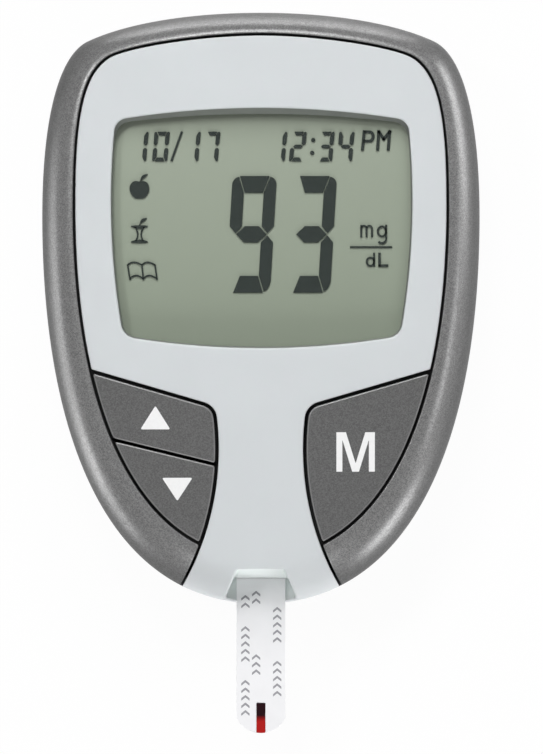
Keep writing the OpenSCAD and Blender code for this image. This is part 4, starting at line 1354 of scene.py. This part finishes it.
def make_strip():
    mesh = Mesh()
    plate(mesh, soften(strip_outline(base_high.y), TIP_CORNER), base_low.z, base_high.z, spacing=1.5)
    mesh.build("strip_card", STRIP_FILM, "test_strip", "strip_film", "strip_base")

    top = TIP_Y + SAMPLE_L
    mesh = Mesh()
    cover = strip_outline(lid_high.y, (SAMPLE_HALF, top), (-SAMPLE_HALF, top))
    plate(mesh, soften(cover, COVER_CORNER), lid_low.z, lid_high.z, edge=0.03, spacing=1.5)
    mesh.build("strip_cover", STRIP_FILM, "test_strip", "strip_film", "strip_lid")

    mesh = Mesh()
    half, end = SAMPLE_HALF - SAMPLE_GAP, top - SAMPLE_END_GAP
    mouth = strip_tip()
    mouth = mouth[mouth[:, 0] < half]
    corner = [[half, mouth[-1][1]], [half, end], [-half, end], [-half, mouth[-1][1]]]
    edges = [np.array(corner[i : i + 2]) for i in range(3)]
    fill = chain(mirrored(mouth), mouth, *edges, step=0.15)
    high = lid_high.z - SAMPLE_SINK
    plate(mesh, soften(fill, SAMPLE_CORNER), lid_low.z, high, edge=0.02, spacing=0.5)
    mesh.build("sample_drop", BLOOD, "test_strip", "blood", "sample_fill")


def chevron(x, y, half, rise, width):
    """Outline of a thin arrowhead that points to the port, its tip at (x, y)."""
    arm = math.hypot(half, rise)
    thick = width * arm / half
    low = -rise - thick
    points = [(0, 0), (-half, -rise), (-half, low), (0, -thick), (half, low), (half, -rise)]
    return polygon(np.array(points) + (x, y), 0.04, 0.4)


MARK_COLUMNS = ((-2.02, 0.6, 5), (-0.62, 5.9, 3), (2.12, 3.1, 5))
MARK_PITCH = 0.98
MARK_REST = 2.1
MARK_HALF = 0.54
MARK_RISE = 0.44
MARK_W = 0.25
MARK_T = 0.012
MARKS_START = TIP_Y + 2.4
MARKS_END = MOUTH_Y - 1.6


def make_strip_marks():
    """Plain arrowheads in columns along the strip, in groups, where the real strip is printed."""
    mesh = Mesh()
    lid = Raised(Level(lid_high.z), MARK_T)
    for x, start, count in MARK_COLUMNS:
        y = MARKS_START + start
        while y < MARKS_END:
            for k in range(count):
                if y + k * MARK_PITCH < MARKS_END:
                    mark = chevron(x, y + k * MARK_PITCH, MARK_HALF, MARK_RISE, MARK_W)
                    shell(mesh, lid, [mark], 0.03, edge=0.005, spacing=1)
            y += count * MARK_PITCH + (MARK_REST if count > 3 else MARK_REST * 3)
    mesh.build("strip_marks", STRIP_INK, "test_strip", "strip_film")


# ---------- rear ----------


def side_line(skin, x, start_y, end_z):
    """Flat line up the body at x, from start_y to height end_z on the top end's roll."""
    ys = np.linspace(start_y, HALF_L, 3000)
    xy = np.column_stack([np.full(len(ys), float(x)), ys])
    phi, distance = skin.polar(xy)
    rim, reach = skin.at_angles(phi, skin.rim, skin.reach)
    inside = distance < rim + reach * ALMOST
    xy = xy[: int(np.argmin(inside))] if not inside.all() else xy
    flat = skin.flat(xy)
    high = skin.point(flat)[:, 2] > end_z
    high &= xy[:, 1] > WIDE_Y
    return flat[: int(np.argmax(high))] if high.any() else flat


def door_loop(grow=0.0):
    """Counter-clockwise outline of the door's opening, from its lower edge over the top end."""
    x, y, z = DOOR_HALF + grow, door_low.y - grow, DOOR_LIP_Z + grow
    right = side_line(REAR, x, y, z)
    top_phi = angle_of(right[-1])
    top = REAR.level(np.linspace(top_phi, math.pi - top_phi, 400), z)
    base = np.array([[-x, y], [x, y]])
    return soften(chain(base, right, top, mirrored(right)), DOOR_CORNER)


def jack_loop():
    """Clockwise hole that is round as the jack sees it."""
    phi = np.linspace(-math.pi / 2, math.pi / 6, 1200)
    loop = []
    for y, z in circle_loop((JACK_Y, JACK_Z), JACK_HOLE_R, 48):
        at_y = np.interp(y, REAR.point(REAR.level(phi, z))[:, 1], phi)
        loop.append(REAR.level([at_y], z)[0])
    return ccw(np.array(loop))[::-1]


def screw_holes(place):
    """Clockwise holes for a pair of screws."""
    return [circle_loop((s * place[0], place[1]), SCREW_HOLE_R)[::-1] for s in (-1, 1)]


def grown_box(low, high, grow):
    """A box's spans in X and Y, longer by grow at each end."""
    return (low.x - grow, high.x + grow), (low.y - grow, high.y + grow)


def at_height(z):
    """A function that puts flat points of the rear at height z."""
    return lambda q: np.column_stack([REAR.point(q)[:, :2], np.full(len(q), float(z))])


def make_rear_skin(mesh):
    """The case's outside, open for the door, the label, the jack and the low screws."""
    jack_face_x = corners("data_jack")[1][0]

    def at_jack(q):
        top = REAR.point(q)
        top[:, 0] = jack_face_x
        return top

    parting = REAR.parting(np.linspace(0, TAU, 2400))
    label = box_loop(*grown_box(label_low, label_high, LABEL_GAP), LABEL_CORNER)
    loops = [chain(parting), door_loop(DOOR_GAP)[::-1], label[::-1], jack_loop()] + screw_holes(LOW_SCREWS)
    seat = at_height(SCREW_SEAT_Z)
    feet = {2: at_height(label_high.z), 3: at_jack, 4: seat, 5: seat}
    edges = [CASE_ROUND, HOLE_ROUND, LABEL_ROUND, JACK_ROUND, HOLE_ROUND, HOLE_ROUND]
    shell(mesh, REAR, loops, WALL, edges, spacing=0.8, feet=feet)
    block(mesh, *grown_box(label_low, label_high, LABEL_LAP), (label_high.z, WALL))


def make_bay(mesh):
    """The floor that the door slides over, with the cells' pocket and the high screws' recesses."""
    loops = [door_loop(BAY_LAP), pocket_loop()[::-1]] + screw_holes(HIGH_SCREWS)
    seat = at_height(SCREW_SEAT_Z)
    feet = {1: at_height(BAY_CEILING), 2: seat, 3: seat}
    under_door = Raised(REAR, -(DOOR_T + DOOR_GAP))
    shell(mesh, under_door, loops, BAY_WALL, [BAY_ROUND] + [POCKET_ROUND] * 3, spacing=1.2, feet=feet)
    block(mesh, (-BAY_HALF, BAY_HALF), BAY_Y, (BAY_CEILING, BAY_CEILING + BAY_WALL))


def make_rear_case():
    mesh = Mesh()
    make_rear_skin(mesh)
    make_bay(mesh)
    for x, y in (HIGH_SCREWS, LOW_SCREWS):
        for s in (-1, 1):
            plate(mesh, circle_loop((s * x, y), SCREW_POST_R), SCREW_SEAT_Z, SCREW_POST_TOP)
    mesh.build("rear_moulding", CASE_PLASTIC, "housing", "case_plastic", "rear_case")


def pocket_loop():
    """Both cells' pockets, joined by the contact slot between them, with the slot at the left end."""

    def distance(p):
        p = p - (0, CELL_Y)
        away = np.hypot(np.abs(p[:, 0]) - CELL_X, p[:, 1]) - CELL_R - CELL_GAP
        for x, half_w, half_l in (LINK_SLOT, END_SLOT):
            away = np.minimum(away, np.maximum(np.abs(p[:, 0] - x) - half_w, np.abs(p[:, 1]) - half_l))
        return away

    return star_loop(distance, np.array([0.0, CELL_Y]), step=0.35)


def make_door():
    mesh = Mesh()
    holes, feet = [], {}
    for i in range(GRIP_COUNT):
        y = door_low.y + GRIP_PITCH * (i + 2) + GRIP_W / 2
        end = np.array([GRIP_HALF - GRIP_W / 2, y])
        right = end + GRIP_W / 2 * unit(np.linspace(-math.pi / 2, math.pi / 2, 12))
        left = mirrored(right)
        holes.append(chain(right, left, np.array([left[-1], right[0]]), step=0.25)[::-1])
        feet[i + 1] = Level(GRIP_DEEP).point
    edges = [DOOR_ROUND] + [GRIP_ROUND] * GRIP_COUNT
    shell(mesh, REAR, [door_loop()] + holes, DOOR_T, edges, spacing=0.8, feet=feet)
    low, high = door_low.y + GRIP_PITCH * 1.7, door_low.y + GRIP_PITCH * (GRIP_COUNT + 2)
    block(mesh, (-GRIP_HALF - 0.3, GRIP_HALF + 0.3), (low, high), (GRIP_DEEP, DOOR_T))
    for s in (-1, 1):
        x = sorted((s * (DOOR_HALF - 1), s * door_high.x))
        block(mesh, x, RAIL_Y, (RAIL_Z, DOOR_T))
    mesh.build("door_moulding", DOOR_PLASTIC, "door", "case_plastic", "battery_door")


# A cell's profile: how far in from its rim, and how far above its lower face or below its upper one
CELL_LOW = ((1.1, 0), (1.0, 0.06), (0.6, 0.06), (0.25, 0.12), (0, 0.4))
CELL_HIGH = ((0, 0.6), (0.1, 0.5), (1.1, 0.5), (1.2, 0.1), (1.3, 0))


def make_cells():
    low = [(CELL_R - inset, cell_low.z + rise) for inset, rise in CELL_LOW]
    high = [(CELL_R - inset, cell_high.z - drop) for inset, drop in CELL_HIGH]
    profile = [(0, cell_low.z), *low, *high, (0, cell_high.z)]
    for side, node in ((-1, "left_coin_cell"), (1, "right_coin_cell")):
        mesh = Mesh()
        turned(mesh, (side * CELL_X, CELL_Y), profile)
        mesh.build(node.replace("coin_cell", "cell_can"), CELL_STEEL, "housing", "cell_steel", node)


def make_label():
    mesh = Mesh()
    loop = box_loop(*grown_box(label_low, label_high, 0), LABEL_CORNER)
    shell(mesh, Level(label_low.z, -1), [loop], label_high.z - label_low.z, LABEL_ROUND, spacing=3)
    mesh.build("label_plate", LABEL, "housing", "label_film", "rating_label")


# ---------- camera, floor and light ----------

PHOTO_W, PHOTO_H = 543, 754
PX_PER_MM = 7.69
BODY_PX = (260.9, 308.15)
CAMERA_AWAY = 3.0


def make_camera():
    data = bpy.data.cameras.new("camera")
    data.sensor_width = 36
    data.sensor_fit = "AUTO"
    data.lens = data.sensor_width * CAMERA_AWAY / (PHOTO_H / PX_PER_MM * MM)
    data.clip_start, data.clip_end = 0.01, 100
    camera = placed("camera", data)
    x = (PHOTO_W / 2 - BODY_PX[0]) / PX_PER_MM
    y = (BODY_PX[1] - PHOTO_H / 2) / PX_PER_MM
    camera.location = (x * MM, y * MM, CAMERA_AWAY + 14 * MM)
    bpy.context.scene.camera = camera


FLOOR_HALF = 30.0
FLOOR_Z = -0.0002
FLOOR_GLOW = 0.96


def make_floor():
    """A white floor that only the camera sees from above; everything else sees the world past it."""
    corner = [(x * FLOOR_HALF, y * FLOOR_HALF, FLOOR_Z) for x, y in ((-1, -1), (1, -1), (1, 1), (-1, 1))]
    data = bpy.data.meshes.new("floor")
    data.from_pydata(corner, [], [(0, 1, 2, 3)])
    floor = placed("floor", data)
    made = material("floor_white", (0.9, 0.9, 0.9, 1), 0.9, **DULL)
    data.materials.append(made)
    tree = made.node_tree
    lit = add_node(tree, "MixShader", Fac=FLOOR_GLOW)
    seen = add_node(tree, "MixShader")
    above = add_node(tree, "Math")
    above.operation = "SUBTRACT"
    above.use_clamp = True
    for source, goal in (
        (add_node(tree, "LightPath").outputs["Is Camera Ray"], above.inputs[0]),
        (add_node(tree, "NewGeometry").outputs["Backfacing"], above.inputs[1]),
        (above.outputs["Value"], seen.inputs["Fac"]),
        (tree.nodes["Principled BSDF"].outputs["BSDF"], lit.inputs[1]),
        (add_node(tree, "Emission").outputs["Emission"], lit.inputs[2]),
        (add_node(tree, "BsdfTransparent").outputs["BSDF"], seen.inputs[1]),
        (lit.outputs["Shader"], seen.inputs[2]),
        (seen.outputs["Shader"], tree.nodes["Material Output"].inputs["Surface"]),
    ):
        tree.links.new(source, goal)


AMBIENT = 0.07
LAMP_AWAY = 0.9
# Name, azimuth and elevation in degrees, side in metres, and how bright a white surface facing the lamp looks
LAMPS = (
    ("key", 104, 54, 0.2, 0.34),
    ("top", 88, 36, 0.35, 0.4),
    ("top_left", 150, 54, 0.14, 0.22),
    ("top_right", 50, 46, 0.3, 0.1),
    ("right", -12, 8, 0.3, 0.14),
    ("nose", -90, 18, 0.8, 0.76),
    # What a pale table throws back
    ("table_top", 90, -44, 0.45, 0.6),
    ("table_right", 18, -16, 0.5, 0.6),
    ("table_left", 192, -36, 0.45, 0.42),
    ("table_low_right", -40, -20, 0.32, 0.36),
    ("table_low_left", 212, -31, 0.33, 0.21),
)


def softbox(name, azimuth, elevation, side, level):
    """Square lamp that faces the object."""
    data = bpy.data.lights.new(name, "AREA")
    data.shape = "SQUARE"
    data.size = side
    data.energy = level * (math.pi * LAMP_AWAY) ** 2
    turn, rise = math.radians(azimuth), math.radians(elevation)
    toward = Vector((math.cos(rise) * math.cos(turn), math.cos(rise) * math.sin(turn), math.sin(rise)))
    lamp = placed(name, data)
    lamp.location = toward * LAMP_AWAY + Vector((0, 0, 0.01))
    lamp.rotation_euler = toward.to_track_quat("Z", "Y").to_euler()
    lamp.visible_camera = False


def make_light():
    world = bpy.data.worlds.new("studio")
    bpy.context.scene.world = world
    world.use_nodes = True
    tree = world.node_tree
    path = add_node(tree, "LightPath")
    seen = path.outputs["Is Camera Ray"]
    for other in ("Is Glossy Ray", "Is Transmission Ray"):
        both = add_node(tree, "Math")
        both.operation = "MAXIMUM"
        tree.links.new(seen, both.inputs[0])
        tree.links.new(path.outputs[other], both.inputs[1])
        seen = both.outputs["Value"]
    level = mapped(tree, seen, AMBIENT, 1.0, 0, 1)
    tree.links.new(level, tree.nodes["Background"].inputs["Strength"])
    tree.nodes["Background"].inputs["Color"].default_value = (1, 1, 1, 1)
    for lamp in LAMPS:
        softbox(*lamp)


make_camera()
make_panel()
make_trim()
for key in KEY_MIDDLE:
    make_key(key)
make_legends()
make_lens()
make_reading()
make_clock()
make_letters()
make_icons()
make_strip()
make_strip_marks()
make_rear_case()
make_door()
make_cells()
make_label()
finish_cad_nodes()
make_floor()
make_light()
bpy.context.scene.view_settings.view_transform = "Standard"
